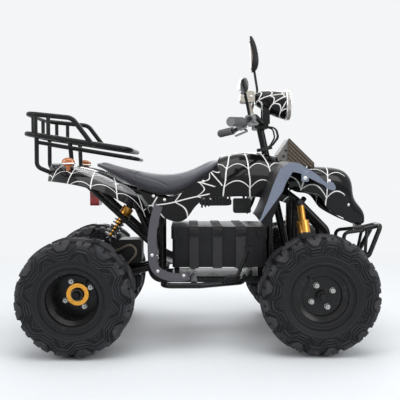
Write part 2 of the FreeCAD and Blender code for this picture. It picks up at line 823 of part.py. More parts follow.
def drive_motor():
    body = rounded("drive_motor_block", box("drive_motor_box", (-385, -58, 312), (-280, 58, 412)), 14,
                   (0, 1, 0))
    shaft = cylinder("drive_motor_shaft", (-332, -80, 362), (0, 1, 0), 12, 30)
    pulley = cylinder("drive_motor_sprocket", (-332, -73, 362), (0, 1, 0), 24, 6)
    joined("drive_motor", [body, shaft, pulley])


def drive_chain():
    """A closed loop round the two sprockets."""
    front = Vector(-332, N["sprocket_y"], 362)
    rear = Vector(REAR_AXLE.x, N["sprocket_y"], REAR_AXLE.z)
    loops = []
    for radius_front, radius_rear in ((33, N["sprocket_radius"] + 11), (24.2, N["sprocket_radius"] + 2)):
        span = (front - rear)
        tilt = math.atan2(span.z, span.x)
        lean = math.acos((radius_rear - radius_front) / span.Length)
        corners = []
        for centre, radius in ((front, radius_front), (rear, radius_rear)):
            for sign in (1, -1):
                angle = tilt + sign * lean
                corners.append(centre + Vector(math.cos(angle), 0, math.sin(angle)) * radius)
        front_up, front_down, rear_up, rear_down = corners
        nose = front + Vector(math.cos(tilt), 0, math.sin(tilt)) * radius_front
        tail = rear - Vector(math.cos(tilt), 0, math.sin(tilt)) * radius_rear
        loops.append(Part.Wire([
            Part.LineSegment(rear_up, front_up).toShape(), Part.Arc(front_up, nose, front_down).toShape(),
            Part.LineSegment(front_down, rear_down).toShape(), Part.Arc(rear_down, tail, rear_up).toShape(),
        ]))
    face = Part.Face(loops[0]).cut(Part.Face(loops[1]))
    face.translate(Vector(0, -5, 0))
    feature("drive_chain", face.extrude(Vector(0, 10, 0))).Label = "drive_chain"


# Battery box

def battery_box():
    rear = N["battery_rear_x"]
    front = rear + N["battery_length"]
    half = N["battery_width"] / 2
    low = N["battery_bottom"]
    seam = low + N["battery_height"]
    top = seam + N["lid_height"]
    case = box("battery_case_block", (rear, -half, low), (front, half, seam))
    rounded("battery_case", case, 12, (0, 0, 1)).Label = "battery_case"
    lid = box("battery_lid_block", (rear - 5, -half - 5, seam), (front + 5, half + 5, top))
    lid_body = rounded("battery_lid_body", lid, 14, (0, 0, 1))
    latches = []
    for name, side in SIDES.items():
        for index, place in enumerate((0.08, 0.92)):
            spot = rear + (front - rear) * place
            latches.append(box("battery_latch_%s_%d" % (name, index),
                               (spot - 8, side * (half + 8) - 4, seam + 12),
                               (spot + 8, side * (half + 8) + 4, seam + 40)))
    joined("battery_lid", [lid_body] + latches)
    straps = []
    gap = N["strap_thickness"]
    for index, place in enumerate((0.13, 0.38, 0.63)):
        start = rear + 20 + (front - rear) * place
        end = start + N["strap_width"]
        outer = box("strap_%d_outer" % index, (start, -half - 5 - gap, low - gap),
                    (end, half + 5 + gap, top + gap))
        inner = box("strap_%d_inner" % index, (start - 1, -half - 5, low), (end + 1, half + 5, top))
        straps.append(less("strap_%d" % index, outer, [inner]))
    together("battery_straps", straps)


# Body panels

def seat():
    """A saddle: rounded cross-sections along the seat, broad at the hips and narrow at the nose."""
    stations = (
        (-470, 748, 722, 95), (-420, 734, 700, 112), (-330, 710, 650, 126), (-240, 694, 612, 132),
        (-150, 690, 598, 128), (-70, 708, 632, 104), (0, 742, 686, 84), (48, 764, 728, 68),
    )
    sections = []
    for place, top, bottom, half in stations:
        section = []
        for index in range(16):
            angle = 2 * math.pi * index / 16
            across = half * math.copysign(abs(math.cos(angle)) ** 0.55, math.cos(angle))
            rise = (top - bottom) / 2 * math.copysign(abs(math.sin(angle)) ** 0.7, math.sin(angle))
            section.append((place, across, (top + bottom) / 2 + rise))
        sections.append(section)
    less("seat", lofted("seat_whole", sections), [piece("rear_subframe")])


def tank_cover():
    """The centre body: an arched shell from the seat nose to the air scoop."""
    outline = ((60, 768), (110, 780), (200, 783), (280, 772), (330, 752))
    half_top = 92

    def formula(u, v):
        crown = on_curve([(x, 0, z) for x, z in outline], u)
        turn = (v - 0.5) * math.pi
        half = half_top + 62 * abs(math.sin(turn)) ** 2
        drop = 185 * (1 - math.cos(turn)) ** 1.4
        lean = -60 * (1 - math.cos(turn)) * (1 - u)
        return crown.x + lean, half * math.sin(turn), crown.z - drop

    shell = skin("tank_cover_shell", formula, 8, 16, N["panel_thickness"])
    opening = cylinder("tank_cover_hole", column_point(420), STEER_AXIS, 36, 260)
    less("tank_cover", shell, [opening])


def side_panels():
    """The panels under the seat, one to a side, between the seat's edge and the battery box."""
    panels = []
    for name, side in SIDES.items():
        edge = ((-290, 628), (-225, 600), (-160, 594), (-80, 632), (0, 690), (40, 722))
        foot = ((-225, 530), (-170, 505), (-109, 496), (-50, 560), (14, 600), (75, 612))

        def formula(u, v):
            upper = on_curve([(x, 0, z) for x, z in edge], u)
            lower = on_curve([(x, 0, z) for x, z in foot], u)
            place = upper + (lower - upper) * v
            bulge = 136 + 14 * math.sin(v * math.pi / 2)
            return place.x, side * bulge, place.z

        whole = skin("side_panel_%s_whole" % name, formula, 10, 4, N["panel_thickness"] * side)
        panels.append(trimmed("side_panel_" + name, whole, [piece("tank_cover")]))
    together("side_panels", panels)


def tail_fender():
    """The rear body: a tail under the rack, swept down beside the seat and spread over the rear wheels."""
    spine = ((-650, 722), (-560, 716), (-450, 694), (-350, 648), (-260, 578), (-205, 515))

    def formula(u, v):
        crown = on_curve([(x, 0, z) for x, z in spine], u)
        turn = 2 * v - 1
        half = 175 + 150 * math.sin(math.pi * min(u * 1.25, 1)) ** 0.8 - 30 * u
        lip = -60 * abs(turn) ** 6
        hump = 16 * (1 - turn * turn) * (1 - u)
        return crown.x, half * turn, crown.z + lip + hump

    skin("tail_fender_shell", formula, 12, 14, N["panel_thickness"])
    shell = document.getObject("tail_fender_shell")
    slot = box("tail_fender_slot", (-620, -128, 400), (-150, 128, 800))
    less("tail_fender", shell, [slot])


def fender_curve(amount):
    marks = [(184, 0, 528), (232, 0, 640), (302, 0, 744), (380, 0, 712), (470, 0, 652)]
    return on_curve(marks, amount)


def front_fenders():
    wings = []
    trims = []
    for name, side in SIDES.items():

        def formula(u, v):
            crown = fender_curve(u)
            across = 132 + 250 * v
            crown_z = crown.z - 14 * v * v
            return crown.x, side * across, crown_z

        def edge(u, v):
            crown = fender_curve(u)
            ahead = fender_curve(min(u + 0.01, 1)) - fender_curve(max(u - 0.01, 0))
            down = Vector(ahead.z, 0, -ahead.x).normalize()
            depth = N["trim_height"] * (1 - 0.72 * min(max((u - 0.5) / 0.5, 0), 1))
            place = crown + down * (depth * (v - 0.12))
            return place.x, side * 382.3, place.z - 14

        wing = skin("front_fender_%s_whole" % name, formula, 12, 6, N["panel_thickness"] * side)
        wings.append(trimmed("front_fender_" + name, wing, [piece("tank_cover"), piece("nose_cowl")]))
        trims.append(skin("fender_trim_" + name, edge, 12, 3, -N["panel_thickness"] * side))
    together("front_fenders", wings)
    together("fender_trims", trims)


def nose_cowl():
    """The nose: a channel from the wheel arches over the lamps to the beak, open below and behind."""
    crest = ((336, 741), (400, 733), (449, 725), (533, 719), (598, 697), (624, 647), (634, 591),
             (674, 534), (682, 482))
    hem = ((336, 622), (371, 628), (408, 610), (463, 599), (508, 542), (540, 520), (570, 503), (604, 488),
           (652, 470))

    def formula(u, v):
        crown = on_curve([(x, 0, z) for x, z in crest], u)
        edge = on_curve([(x, 0, z) for x, z in hem], u)
        turn = 2 * v - 1
        half = 138 - 100 * u ** 1.5
        spread = 1 - (1 - abs(turn)) ** 3
        place = crown + (edge - crown) * abs(turn) ** 2.2
        return place.x, math.copysign(half * spread, turn), place.z

    skin("nose_cowl", formula, 14, 16, N["panel_thickness"]).Label = "nose_cowl"
    lamps = []
    for name, side in SIDES.items():
        lamps.append(rounded("nose_lamp_" + name, box("nose_lamp_block_" + name, (586, side * 44 - 20, 580),
                                                      (622, side * 44 + 20, 648)), 19, (1, 0, 0)))
    lamps.append(rounded("nose_lamp_tip", box("nose_lamp_tip_block", (642, -18, 446), (672, 18, 480)), 6,
                         (0, 1, 0)))
    document.recompute()
    together("nose_lamps", [trimmed("nose_lamp_cut_%d" % index, lamp,
                                    [piece("nose_cowl"), piece("front_bumper")])
                            for index, lamp in enumerate(lamps)])


def air_scoop():
    """The ribbed intake in front of the column, on a slanted bracket plate."""
    outline = [(338, 700), (345, 842), (452, 738), (452, 700)]
    tools = [piece("tank_cover"), piece("nose_cowl")]
    hood = extruded("air_scoop_whole", outline, 150)
    trimmed("air_scoop", hood, tools)
    plate = extruded("scoop_bracket_whole", [(298, 700), (298, 772), (344.9, 842), (337.9, 700)], 132)
    trimmed("scoop_bracket", plate, tools)


def horn_box():
    """The horn in its square case, which hangs from the frame in front of the battery box."""
    case = rounded("horn_case", box("horn_block", (104, -150, 530), (176, -112, 590)), 8, (0, 1, 0))
    mouth = cylinder("horn_mouth", (140, -155, 560), (0, 1, 0), 22, 8)
    hanger = rod("horn_hanger", (150, -130, 570), (150, -54, 638), 5)
    less("horn_box", joined("horn_whole", [case, mouth, hanger]),
         [piece("rear_subframe"), piece("tank_cover")])


def tail_light():
    lens = rounded("tail_light_lens", box("tail_light_block", (-500, -48, 556), (-462, 48, 618)), 10,
                   (1, 0, 0))
    stem = box("tail_light_stem", (-506, -12, 606), (-494, 12, 640))
    less("tail_light", joined("tail_light_whole", [lens, stem]), [piece("rear_subframe")])


def rear_indicators():
    lamps = []
    for name, side in SIDES.items():
        lens = document.addObject("Part::Ellipsoid", "indicator_lens_" + name)
        bind(lens, Radius1=18, Radius2=26, Radius3=14)
        lens.Placement = Placement(Vector(-560, side * 215, 738), Rotation())
        stem = rod("indicator_stem_" + name, (-560, side * 215, 700), (-560, side * 215, 735), 8)
        whole = joined("indicator_%s_whole" % name, [lens, stem])
        lamps.append(trimmed("indicator_" + name, whole, [piece("tail_fender")]))
    together("rear_indicators", lamps)


def heel_guards():
    """A J-shaped guard before each rear wheel, down into the footboard, with a flange outside."""
    guards = []
    marks = [(x, 0, z) for x, z in ((-214, 574), (-236, 480), (-238, 380), (-222, 316), (-170, 282),
                                    (-76, 282))]
    for name, side in SIDES.items():

        def sheet_face(u, v):
            place = on_curve(marks, u)
            return place.x, side * (150 + 173 * v), place.z

        def flange_face(u, v):
            place = on_curve(marks, u)
            run = on_curve(marks, min(u + 0.01, 1)) - on_curve(marks, max(u - 0.01, 0))
            inward = Vector(-run.z, 0, run.x).normalize() * (33 * v + 1)
            return place.x + inward.x, side * 321, place.z + inward.z

        web = skin("heel_sheet_" + name, sheet_face, 12, 3, -N["panel_thickness"] * side)
        flange = skin("heel_flange_" + name, flange_face, 12, 2, N["panel_thickness"] * side)
        guards.append(joined("heel_guard_" + name, [web, flange]))
    together("heel_guards", guards)


def footrests():
    rests = []
    for name, side in SIDES.items():
        outer = tube("footrest_tube_" + name, [
            (-180, side * 112, 262), (-180, side * 330, 262), (-40, side * 330, 262), (130, side * 250, 262),
            (150, side * 112, 262),
        ], 11, 40)
        peg = cylinder("footrest_peg_" + name, (-60, side * 112, 264), (0, side, 0), 12, 215)
        rests.append(joined("footrest_" + name, [outer, peg]))
    less("footrests", together("footrests_whole", rests), [piece("frame_cradle")])


def brake_pedal():
    bar = tube("brake_pedal_bar", [
        (60, -300, 264), (62, -300, 288), (110, -290, 292), (150, -290, 390), (150, -310, 404),
    ], 7, 20)
    pad = box("brake_pedal_pad", (138, -325, 394), (166, -275, 412))
    less("brake_pedal", joined("brake_pedal_whole", [bar, pad]), [piece("footrests")])


# Steering

def steering_column():
    low = column_point(-70)
    post = rod("steering_post", low, COLUMN_TOP, S["column_radius"])
    clamp = rounded("steering_clamp_block",
                    box("steering_clamp_box", (N["column_x"] - 30, -60, N["bar_height"] - 8),
                        (N["column_x"] + 30, 60, N["bar_height"] + 22)), 8, (0, 1, 0))
    back = N["steering_arm"]
    arm = rod("pitman_arm", column_point(0), column_point(0, back), 9)
    eye = cylinder("pitman_eye", column_point(-8, back), STEER_AXIS, 13, 16)
    plates = []
    for name, side in SIDES.items():
        plates.append(box("headlight_plate_" + name, (236, side * 30 - 3, BAR_Z + 15),
                          (268, side * 30 + 3, N["pod_height"] + 4)))
    whole = joined("steering_column_whole", [post, clamp, arm, eye] + plates)
    less("steering_column", whole, [piece("handlebar"), piece("headlight_pod")])


def bar_route():
    """Half of the handlebar from its middle outward, for the left side."""
    return [(229, 0, BAR_Z + 15), (229, 70, BAR_Z + 15), (190, 150, BAR_Z + 38), (140, 236, BAR_Z + 7),
            (78, N["bar_half_width"], BAR_Z - 2)]


def handlebar():
    half = bar_route()
    whole = [(x, -y, z) for x, y, z in reversed(half[1:])] + half[1:]
    bar = tube("handlebar_tube", whole, S["bar_radius"], 60)
    bar.Label = "handlebar"


def grips():
    pieces = []
    for name, side in SIDES.items():
        inner = Vector(140, side * 236, BAR_Z + 7)
        outer = Vector(78, side * N["bar_half_width"], BAR_Z - 2)
        along = (outer - inner).normalize()
        sleeve = cylinder("grip_sleeve_" + name, outer + along * 4 - along * N["grip_length"], along,
                          S["grip_radius"], S["grip_length"])
        core = cylinder("grip_core_" + name, outer - along * (N["grip_length"] + 4), along, S["bar_radius"],
                        N["grip_length"] + 4)
        pieces.append(less("grip_" + name, sleeve, [core]))
    together("grips", pieces)


def brake_levers():
    pieces = []
    for name, side in SIDES.items():
        clamp = rod("lever_clamp_" + name, (176, side * 176, BAR_Z + 28), (160, side * 204, BAR_Z + 19), 19)
        blade = tube("lever_blade_" + name, [
            (170, side * 192, BAR_Z + 15), (196, side * 214, BAR_Z + 2), (150, side * 330, BAR_Z - 14),
        ], 6, 20)
        pieces.append(joined("lever_" + name, [clamp, blade]))
    whole = together("brake_levers_solid", pieces)
    bar = tube("lever_bore", [(x, -y, z) for x, y, z in reversed(bar_route()[1:])] + bar_route()[1:],
               S["bar_radius"], 60)
    less("brake_levers", whole, [bar])


def headlight():
    """The pod tapers back from its round lens to a small tail that sits higher."""
    length = N["pod_length"]
    radius = N["pod_radius"]
    sections = []
    for share, size, lift in ((0, 0.36, 32), (0.22, 0.62, 28), (0.6, 0.86, 16), (1, 0.97, 6)):
        centre = N["pod_height"] + lift
        turns = [2 * math.pi * index / 16 for index in range(16)]
        sections.append([(N["pod_x"] + length * share, radius * size * math.cos(turn),
                          centre + radius * size * math.sin(turn))
                         for turn in turns])
    lofted("headlight_pod", sections)
    reach = S["pod_radius"]
    ring = turned("headlight_lens", [
        (0, 0), (reach + 2, 0), (reach + 2, 18), (reach - 5, 22), (reach * 0.5, 25), (0, 26),
    ])
    ring.Placement = Placement(Vector(N["pod_x"] + length, 0, N["pod_height"] + 6),
                               Rotation(Vector(0, 1, 0), Vector(1, 0, 0)))


def display():
    low = BAR_Z + 108
    case = rounded("display_case", box("display_block", (142, -45, low), (201, 45, low + 46)), 12, (0, 1, 0))
    post = tube("display_post", [(222, 0, BAR_Z + 18), (196, 0, BAR_Z + 50), (178, 0, low + 2)], 9, 20)
    less("display", joined("display_whole", [case, post]), [piece("handlebar"), piece("steering_column")])


def mirror_head(name):
    """A leaf: oval across, tapering to its tip. Its length runs along its own Z axis."""
    sections = []
    length = N["mirror_length"]
    for share, size in ((0.0, 0.36), (0.1, 0.78), (0.3, 1.0), (0.55, 0.94), (0.8, 0.7), (1.0, 0.3)):
        section = []
        for index in range(12):
            angle = 2 * math.pi * index / 12
            deep = N["mirror_thickness"] * (0.5 + 0.5 * math.cos(angle)) * size
            section.append((deep, N["mirror_width"] / 2 * size * math.sin(angle), length * share))
        sections.append(section)
    return lofted(name, sections)


def mirrors():
    """The left one stands upright. The right one is turned so that its long side points across."""
    left_head = mirror_head("mirror_left_head")
    left_head.Placement = Placement(Vector(225, 330, BAR_Z + 292), Rotation(Vector(0, 1, 0), -3.3))
    left_stem = tube("mirror_left_stem", [
        (166, 200, BAR_Z + 22), (214, 236, BAR_Z + 95), (251, 300, BAR_Z + 198), (238, 328, BAR_Z + 300),
    ], 6, 60)
    right_head = mirror_head("mirror_right_head")
    right_head.Placement = Placement(Vector(112, -230, BAR_Z + 141), Rotation(Vector(1, 0, 0), 90))
    right_stem = tube("mirror_right_stem", [
        (166, -200, BAR_Z + 22), (156, -206, BAR_Z + 70), (134, -280, BAR_Z + 130), (134, -320, BAR_Z + 141),
    ], 6, 40)
    both = [joined("mirror_left", [left_head, left_stem]), joined("mirror_right", [right_head, right_stem])]
    less("mirrors", together("mirrors_whole", both), [piece("brake_levers"), piece("handlebar")])


def control_cables():
    pieces = []
    for index, (across, reach) in enumerate(((-20, 50), (0, 58), (20, 44))):
        top = COLUMN_TOP + Vector(24, across, 0)
        pieces.append(tube("control_cable_%d" % index, [
            (top.x, across, BAR_Z + 4), (top.x + reach * 0.8, across * 1.2, BAR_Z),
            (top.x + reach, across * 1.3, BAR_Z - 40),
            (top.x + reach * 0.55, across, BAR_Z - 74), (COLUMN_TOP.x + 34, across * 0.5, BAR_Z - 85),
        ], 3.5, 24))
    collar = cylinder("control_cable_collar", COLUMN_TOP - STEER_AXIS * 100, STEER_AXIS, 34, 14)
    whole = joined("control_cables_whole", pieces + [collar])
    less("control_cables", whole, [piece("steering_column")])


def build():
    for make in (
        rear_wheels, front_wheels, knuckles, tie_rods, suspension_arms, shocks, frame_cradle, rear_subframe,
        front_frame, steering_bushes, front_bumper, rack, swing_arm, drive_motor, drive_chain,
        battery_box, seat,
        tank_cover, side_panels, tail_fender, nose_cowl, front_fenders, air_scoop, horn_box, tail_light,
        rear_indicators, heel_guards, footrests, brake_pedal, handlebar, headlight, steering_column,
        grips, brake_levers, display,
        mirrors, control_cables,
    ):
        make()
        document.recompute()


NODES = (
    "frame_cradle", "rear_subframe", "front_frame", "steering_bushes", "front_bumper", "rack_deck",
    "rack_guard",
    "rack_legs", "swing_arm", "drive_motor", "drive_chain", "dampers", "coil_springs", "suspension_arms",
    "battery_case", "battery_lid", "battery_straps", "seat", "tank_cover", "side_panels", "tail_fender",
    "front_fenders", "fender_trims", "nose_cowl", "nose_lamps", "air_scoop", "scoop_bracket", "horn_box",
    "tail_light", "rear_indicators",
    "heel_guards", "footrests", "brake_pedal", "steering_column", "handlebar", "grips", "brake_levers",
    "headlight_pod", "headlight_lens", "display", "mirrors", "control_cables",
    "knuckle_left", "knuckle_right", "tie_rod_left", "tie_rod_right", "front_rim_left", "front_rim_right",
    "front_tyre_left", "front_tyre_right", "rear_axle", "hub_rings", "rear_rim_left", "rear_rim_right",
    "rear_tyre_left", "rear_tyre_right",
)


def check_and_export():
    document.recompute()
    failed = [item.Label for item in document.Objects if "Invalid" in item.State or "Error" in item.State]
    labels = {item.Label: item for item in document.Objects}
    failed += [node for node in NODES if labels[node].Shape.isNull() or not labels[node].Shape.isValid()]
    if failed:
        raise RuntimeError("These pieces failed: %s" % ", ".join(failed))
    os.makedirs("parts", exist_ok=True)
    for node in NODES:
        labels[node].Shape.exportStep("parts/%s.step" % node)


build()
check_and_export()
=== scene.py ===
"""Finishes for a youth-size electric quad bike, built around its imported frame."""

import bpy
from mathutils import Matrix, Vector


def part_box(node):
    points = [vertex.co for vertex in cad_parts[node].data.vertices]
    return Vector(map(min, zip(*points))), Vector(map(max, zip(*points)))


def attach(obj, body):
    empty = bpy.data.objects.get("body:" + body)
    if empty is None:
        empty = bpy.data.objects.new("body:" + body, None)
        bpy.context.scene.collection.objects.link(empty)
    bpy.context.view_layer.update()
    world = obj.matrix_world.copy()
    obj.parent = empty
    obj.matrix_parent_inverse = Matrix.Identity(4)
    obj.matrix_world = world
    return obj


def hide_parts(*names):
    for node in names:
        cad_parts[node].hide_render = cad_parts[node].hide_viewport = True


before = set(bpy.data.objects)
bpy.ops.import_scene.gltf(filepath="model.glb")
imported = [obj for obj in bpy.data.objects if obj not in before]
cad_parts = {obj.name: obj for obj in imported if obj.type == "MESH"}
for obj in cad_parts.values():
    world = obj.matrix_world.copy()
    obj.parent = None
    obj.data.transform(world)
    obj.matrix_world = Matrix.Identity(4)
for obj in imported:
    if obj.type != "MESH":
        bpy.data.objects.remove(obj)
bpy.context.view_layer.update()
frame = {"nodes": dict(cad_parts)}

import math

import bmesh
import bpy
import numpy as np
from bpy.props import FloatProperty, FloatVectorProperty, IntProperty, PointerProperty
from mathutils import Vector
from mathutils.bvhtree import BVHTree

bl_info = {
    "name": "Quad bike finishes",
    "version": (1, 0, 0),
    "blender": (4, 5, 0),
    "location": "3D View > Sidebar > Quad bike",
    "description": "Tyres, saddle, paint and small parts for a youth-size electric quad bike",
    "category": "Object",
}

NODES = frame["nodes"]
TAU = 2 * math.pi
SIDES = {"left": 1, "right": -1}
FAR_OUT = 0.6
WHEELS = {
    "rear": {"axle": (-0.512, 0.225), "middle": 0.320, "radius": 0.225, "width": 0.235, "rim_width": 0.203,
             "repeats": 8, "nut_face": 0.2880, "nut_circle": 0.110, "cap_face": 0.3210,
             "valve_reach": 0.082, "valve_face": 0.375, "valve_turn": 0.9},
    "front": {"axle": (0.420, 0.232), "middle": 0.337, "radius": 0.232, "width": 0.175, "rim_width": 0.140,
              "repeats": 10, "nut_face": 0.3880, "nut_circle": 0.090, "cap_face": 0.4070,
              "valve_reach": 0.086, "valve_face": 0.3875, "valve_turn": 2.2},
}
PAPER = (0.90, 0.915, 0.93, 1.0)
BLACK = (0.010, 0.010, 0.011)


# Shader maths

class Sig:
    """A number that a shader works out: arithmetic on it adds Math nodes."""

    def __init__(self, shading, socket):
        self.shading = shading
        self.socket = socket

    def _maths(self, operation, *values, clamp=False):
        return self.shading.node("ShaderNodeMath", {"operation": operation, "use_clamp": clamp}, *values)

    def __add__(self, other):
        return self._maths("ADD", self, other)

    def __sub__(self, other):
        return self._maths("SUBTRACT", self, other)

    def __rsub__(self, other):
        return self._maths("SUBTRACT", other, self)

    def __mul__(self, other):
        return self._maths("MULTIPLY", self, other)

    def __mod__(self, other):
        return self._maths("FLOORED_MODULO", self, other)

    __radd__ = __add__
    __rmul__ = __mul__

    def size(self):
        return self._maths("ABSOLUTE", self)

    def sine(self):
        return self._maths("SINE", self)

    def root(self):
        return self._maths("SQRT", self)

    def bearing(self, across):
        """The angle of the direction that rises by this number over a step across."""
        return self._maths("ARCTAN2", self, across)

    def lesser(self, other):
        return self._maths("MINIMUM", self, other)

    def greater(self, other):
        return self._maths("MAXIMUM", self, other)

    def ramp(self, low, high):
        """0 below low, 1 above high and straight between; a low above high turns it round."""
        return self._maths("MULTIPLY", self - low, 1 / (high - low), clamp=True)

    def wave(self, period):
        """The distance to the nearest whole multiple of a period."""
        return ((self + period / 2) % period - period / 2).size()


class Shading:
    """A node tree whose nodes all come from one method."""

    def __init__(self, tree):
        self.tree = tree

    def node(self, kind, settings=None, *values, output=0, **named):
        """Add a node: first its settings, then the values or links of its sockets; None leaves one be."""
        made = self.tree.nodes.new(kind)
        for key, value in (settings or {}).items():
            setattr(made, key, value)
        pairs = list(enumerate(values)) + [(key.replace("_", " "), value) for key, value in named.items()]
        for key, value in pairs:
            if value is not None:
                self.feed(made.inputs[key], value)
        if isinstance(output, tuple):
            return [Sig(self, made.outputs[each]) for each in output]
        return Sig(self, made.outputs[output])

    def feed(self, socket, value):
        """Link a worked-out value to a socket, or set a plain one on it."""
        if isinstance(value, Sig):
            self.tree.links.new(value.socket, socket)
        else:
            socket.default_value = value


class Finish(Shading):
    """A procedural material whose maths is written as Python expressions."""

    def __init__(self, name, **constants):
        self.material = bpy.data.materials.new(name)
        self.material.use_nodes = True
        super().__init__(self.material.node_tree)
        self.shader = self.tree.nodes["Principled BSDF"]
        for socket, value in constants.items():
            self.set(socket.replace("_", " ").title().replace("Ior", "IOR"), value)
        self.place = self.node("ShaderNodeTexCoord", output="Object")

    def set(self, socket, value):
        self.feed(self.shader.inputs[socket], opaque(value))

    def axes(self):
        return self.node("ShaderNodeSeparateXYZ", None, self.place, output=(0, 1, 2))

    def noise(self, scale, detail=3.0, roughness=0.5, stretch=None):
        place = self.place
        if stretch:
            place = self.node("ShaderNodeMapping", None, Vector=place, Scale=stretch)
        return self.node("ShaderNodeTexNoise", None, Vector=place, Scale=scale, Detail=detail,
                         Roughness=roughness)

    def cells(self, scale):
        return self.node("ShaderNodeTexVoronoi", None, Vector=self.place, Scale=scale)

    def mix(self, factor, first, second):
        """A colour between two, each of them three numbers or another mix."""
        return self.node("ShaderNodeMix", {"data_type": "RGBA"}, factor, *[None] * 5, opaque(first),
                         opaque(second), output=2)

    def beside_line(self, low, high):
        """How far along a line each point lies, and its distance from it, both sides as one."""
        x, y, z = self.axes()
        folded = self.node("ShaderNodeCombineXYZ", None, x, y.size(), z)
        ahead = (Vector(high) - Vector(low)).normalized()
        away = self.node("ShaderNodeVectorMath", {"operation": "SUBTRACT"}, folded, tuple(low))
        along = self.node("ShaderNodeVectorMath", {"operation": "DOT_PRODUCT"}, away, tuple(ahead), output=1)
        across = self.node("ShaderNodeVectorMath", {"operation": "CROSS_PRODUCT"}, away, tuple(ahead))
        return along, self.node("ShaderNodeVectorMath", {"operation": "LENGTH"}, across, output=1)

    def bump(self, height, distance, strength):
        raised = self.node("ShaderNodeBump", None, Strength=strength, Distance=distance, Height=height)
        self.set("Normal", raised)


def opaque(value):
    """A colour's three numbers with a full alpha after them, and anything else as it is."""
    return value + (1.0,) if isinstance(value, tuple) and len(value) == 3 else value


def tinted(colour, factor, lift=0.0):
    """A paler or darker colour: each channel times a factor, plus a lift."""
    return tuple(channel * factor + lift for channel in colour)


def worn_metal(name, colour, worn, roughness, metallic, amount=0.35):
    """Paint or plate with fine grain, cloudy gloss and a little wear."""
    made = Finish(name, metallic=metallic, specular_ior_level=0.5 if metallic else 0.22)
    cloud = made.noise(9.0, 5.0, 0.6)
    speck = made.noise(420.0, 2.0)
    wear = (made.noise(34.0, 6.0, 0.7) + cloud * 0.4).ramp(0.78, 0.92) * amount
    made.set("Base Color", made.mix(wear, made.mix(cloud, colour, tinted(colour, 1.35, 0.004)), worn))
    made.set("Roughness", (cloud * 0.18 + roughness - 0.07 + wear * 0.25).greater(0.04))
    made.bump(speck + cloud * 2.0, 0.00025, 0.5)
    return made.material


def web_paint(name, base, hub, spokes, turn, pitch, sag, width, limits=None, painted_reflection_band=None):
    """Gloss paint under white web lines: spokes from a hub, and arcs that sag from spoke to spoke.

    The panel is unrolled as (x, z - 0.8 |y|). About the hub, spokes stand at equal angles, and an arc
    crosses them where r - sag (2 t)^2 is a whole multiple of the pitch, with t from -1/2 to 1/2 across a
    sector. The lines keep between two limits along x. A band of painted reflection, a paler grey where
    an upward slope would mirror the sky, lies between two levels of z + slope x.
    """
    made = Finish(name, coat_weight=0.22, coat_roughness=0.04, specular_ior_level=0.12)
    x, y, z = made.axes()
    across = x + (made.noise(7.0, 2.0) - 0.5) * 0.02 - hub[0]
    rise = z - y.size() * 0.8 + (made.noise(5.0, 1.0) - 0.5) * 0.02 - hub[1]
    reach = (across * across + rise * rise).root()
    sector = (rise.bearing(across) * (spokes / TAU) + turn) % 1.0 - 0.5
    spoke = (0.5 - sector.size()) * reach * (TAU / spokes)
    arc = (reach + sector * sector * 4.0 * -sag).wave(pitch)
    lines = spoke.lesser(arc).ramp(width, width * 0.55)
    if limits:
        low, high = limits
        lines = lines * (x.ramp(low - 0.002, low + 0.002) * x.ramp(high + 0.002, high - 0.002))
    colour = made.mix(made.noise(3.0, 3.0), base, tinted(base, 1.6))
    # The band is painted reflection: a paler grey where an upward-facing slope would mirror the sky.
    if painted_reflection_band:
        low, high, slope, tone = painted_reflection_band
        level = z + x * slope
        stripe = level.ramp(low, low + 0.004) * level.ramp(high, high - 0.004)
        colour = made.mix(stripe, colour, tone)
    made.set("Base Color", made.mix(lines, colour, (0.82, 0.82, 0.80)))
    scratches = made.noise(60.0, 6.0, 0.7, stretch=(1.0, 1.0, 6.0))
    made.set("Roughness", scratches.ramp(0.45, 0.8) * 0.16 + 0.12 + lines * 0.12)
    made.bump(made.noise(150.0, 2.0), 0.0002, 0.3)
    return made.material


def shock_paint(name, colour, gold, shocks, collars):
    """Black shocks with gold cores, or black coils under gold collars.

    Each shock has its lower eye, its upper one, and where its collar starts and ends, as shares of the
    length between the eyes. A core is what lies within about 16 mm of that line and clear of the eyes.
    """
    made = Finish(name, specular_ior_level=0.4, coat_weight=0.3)
    golden = None
    for low, high, start, end in shocks:
        along, away = made.beside_line(low, high)
        length = (Vector(high) - Vector(low)).length
        if collars:
            part = along.ramp(length * start + 0.003, length * start + 0.004)
            part = part * along.ramp(length * end, length * end - 0.001) * away.ramp(0.045, 0.044)
        else:
            part = away.ramp(0.0166, 0.0162) * along.ramp(0.022, 0.023)
            part = part * along.ramp(length - 0.016, length - 0.017)
        golden = part if golden is None else golden.greater(part)
    cloud = made.noise(24.0, 4.0, 0.6)
    made.set("Base Color", made.mix(golden, colour, made.mix(cloud * 0.5, gold, tinted(gold, 0.55))))
    made.set("Metallic", golden * 0.75)
    made.set("Roughness", cloud * 0.16 + 0.20)
    made.bump(cloud, 0.0003, 0.4)
    return made.material


def vinyl(name, dark, pale):
    """Grained seat cover: small pebbles, a paler crown that is painted sheen along the top, and stretched
    creases.
    """
    made = Finish(name, sheen_weight=0.25, sheen_roughness=0.5)
    _, y, _ = made.axes()
    pebble = made.cells(420.0)
    crease = made.noise(38.0, 4.0, 0.6, stretch=(0.6, 1.6, 1.0))
    # The crown is painted sheen: the seat's top middle turns paler as if lit from above.
    crown = (0.085 - y.size()).ramp(-0.02, 0.05)
    tone = made.mix(crown * 0.65 + crease * 0.2, dark, pale)
    made.set("Base Color", made.mix(pebble.ramp(0.25, 0.75) * 0.35, tone, tinted(dark, 0.45)))
    made.set("Roughness", pebble * 0.25 + 0.42)
    made.bump(pebble * -0.6 + crease * 0.35, 0.0008, 0.8)
    return made.material


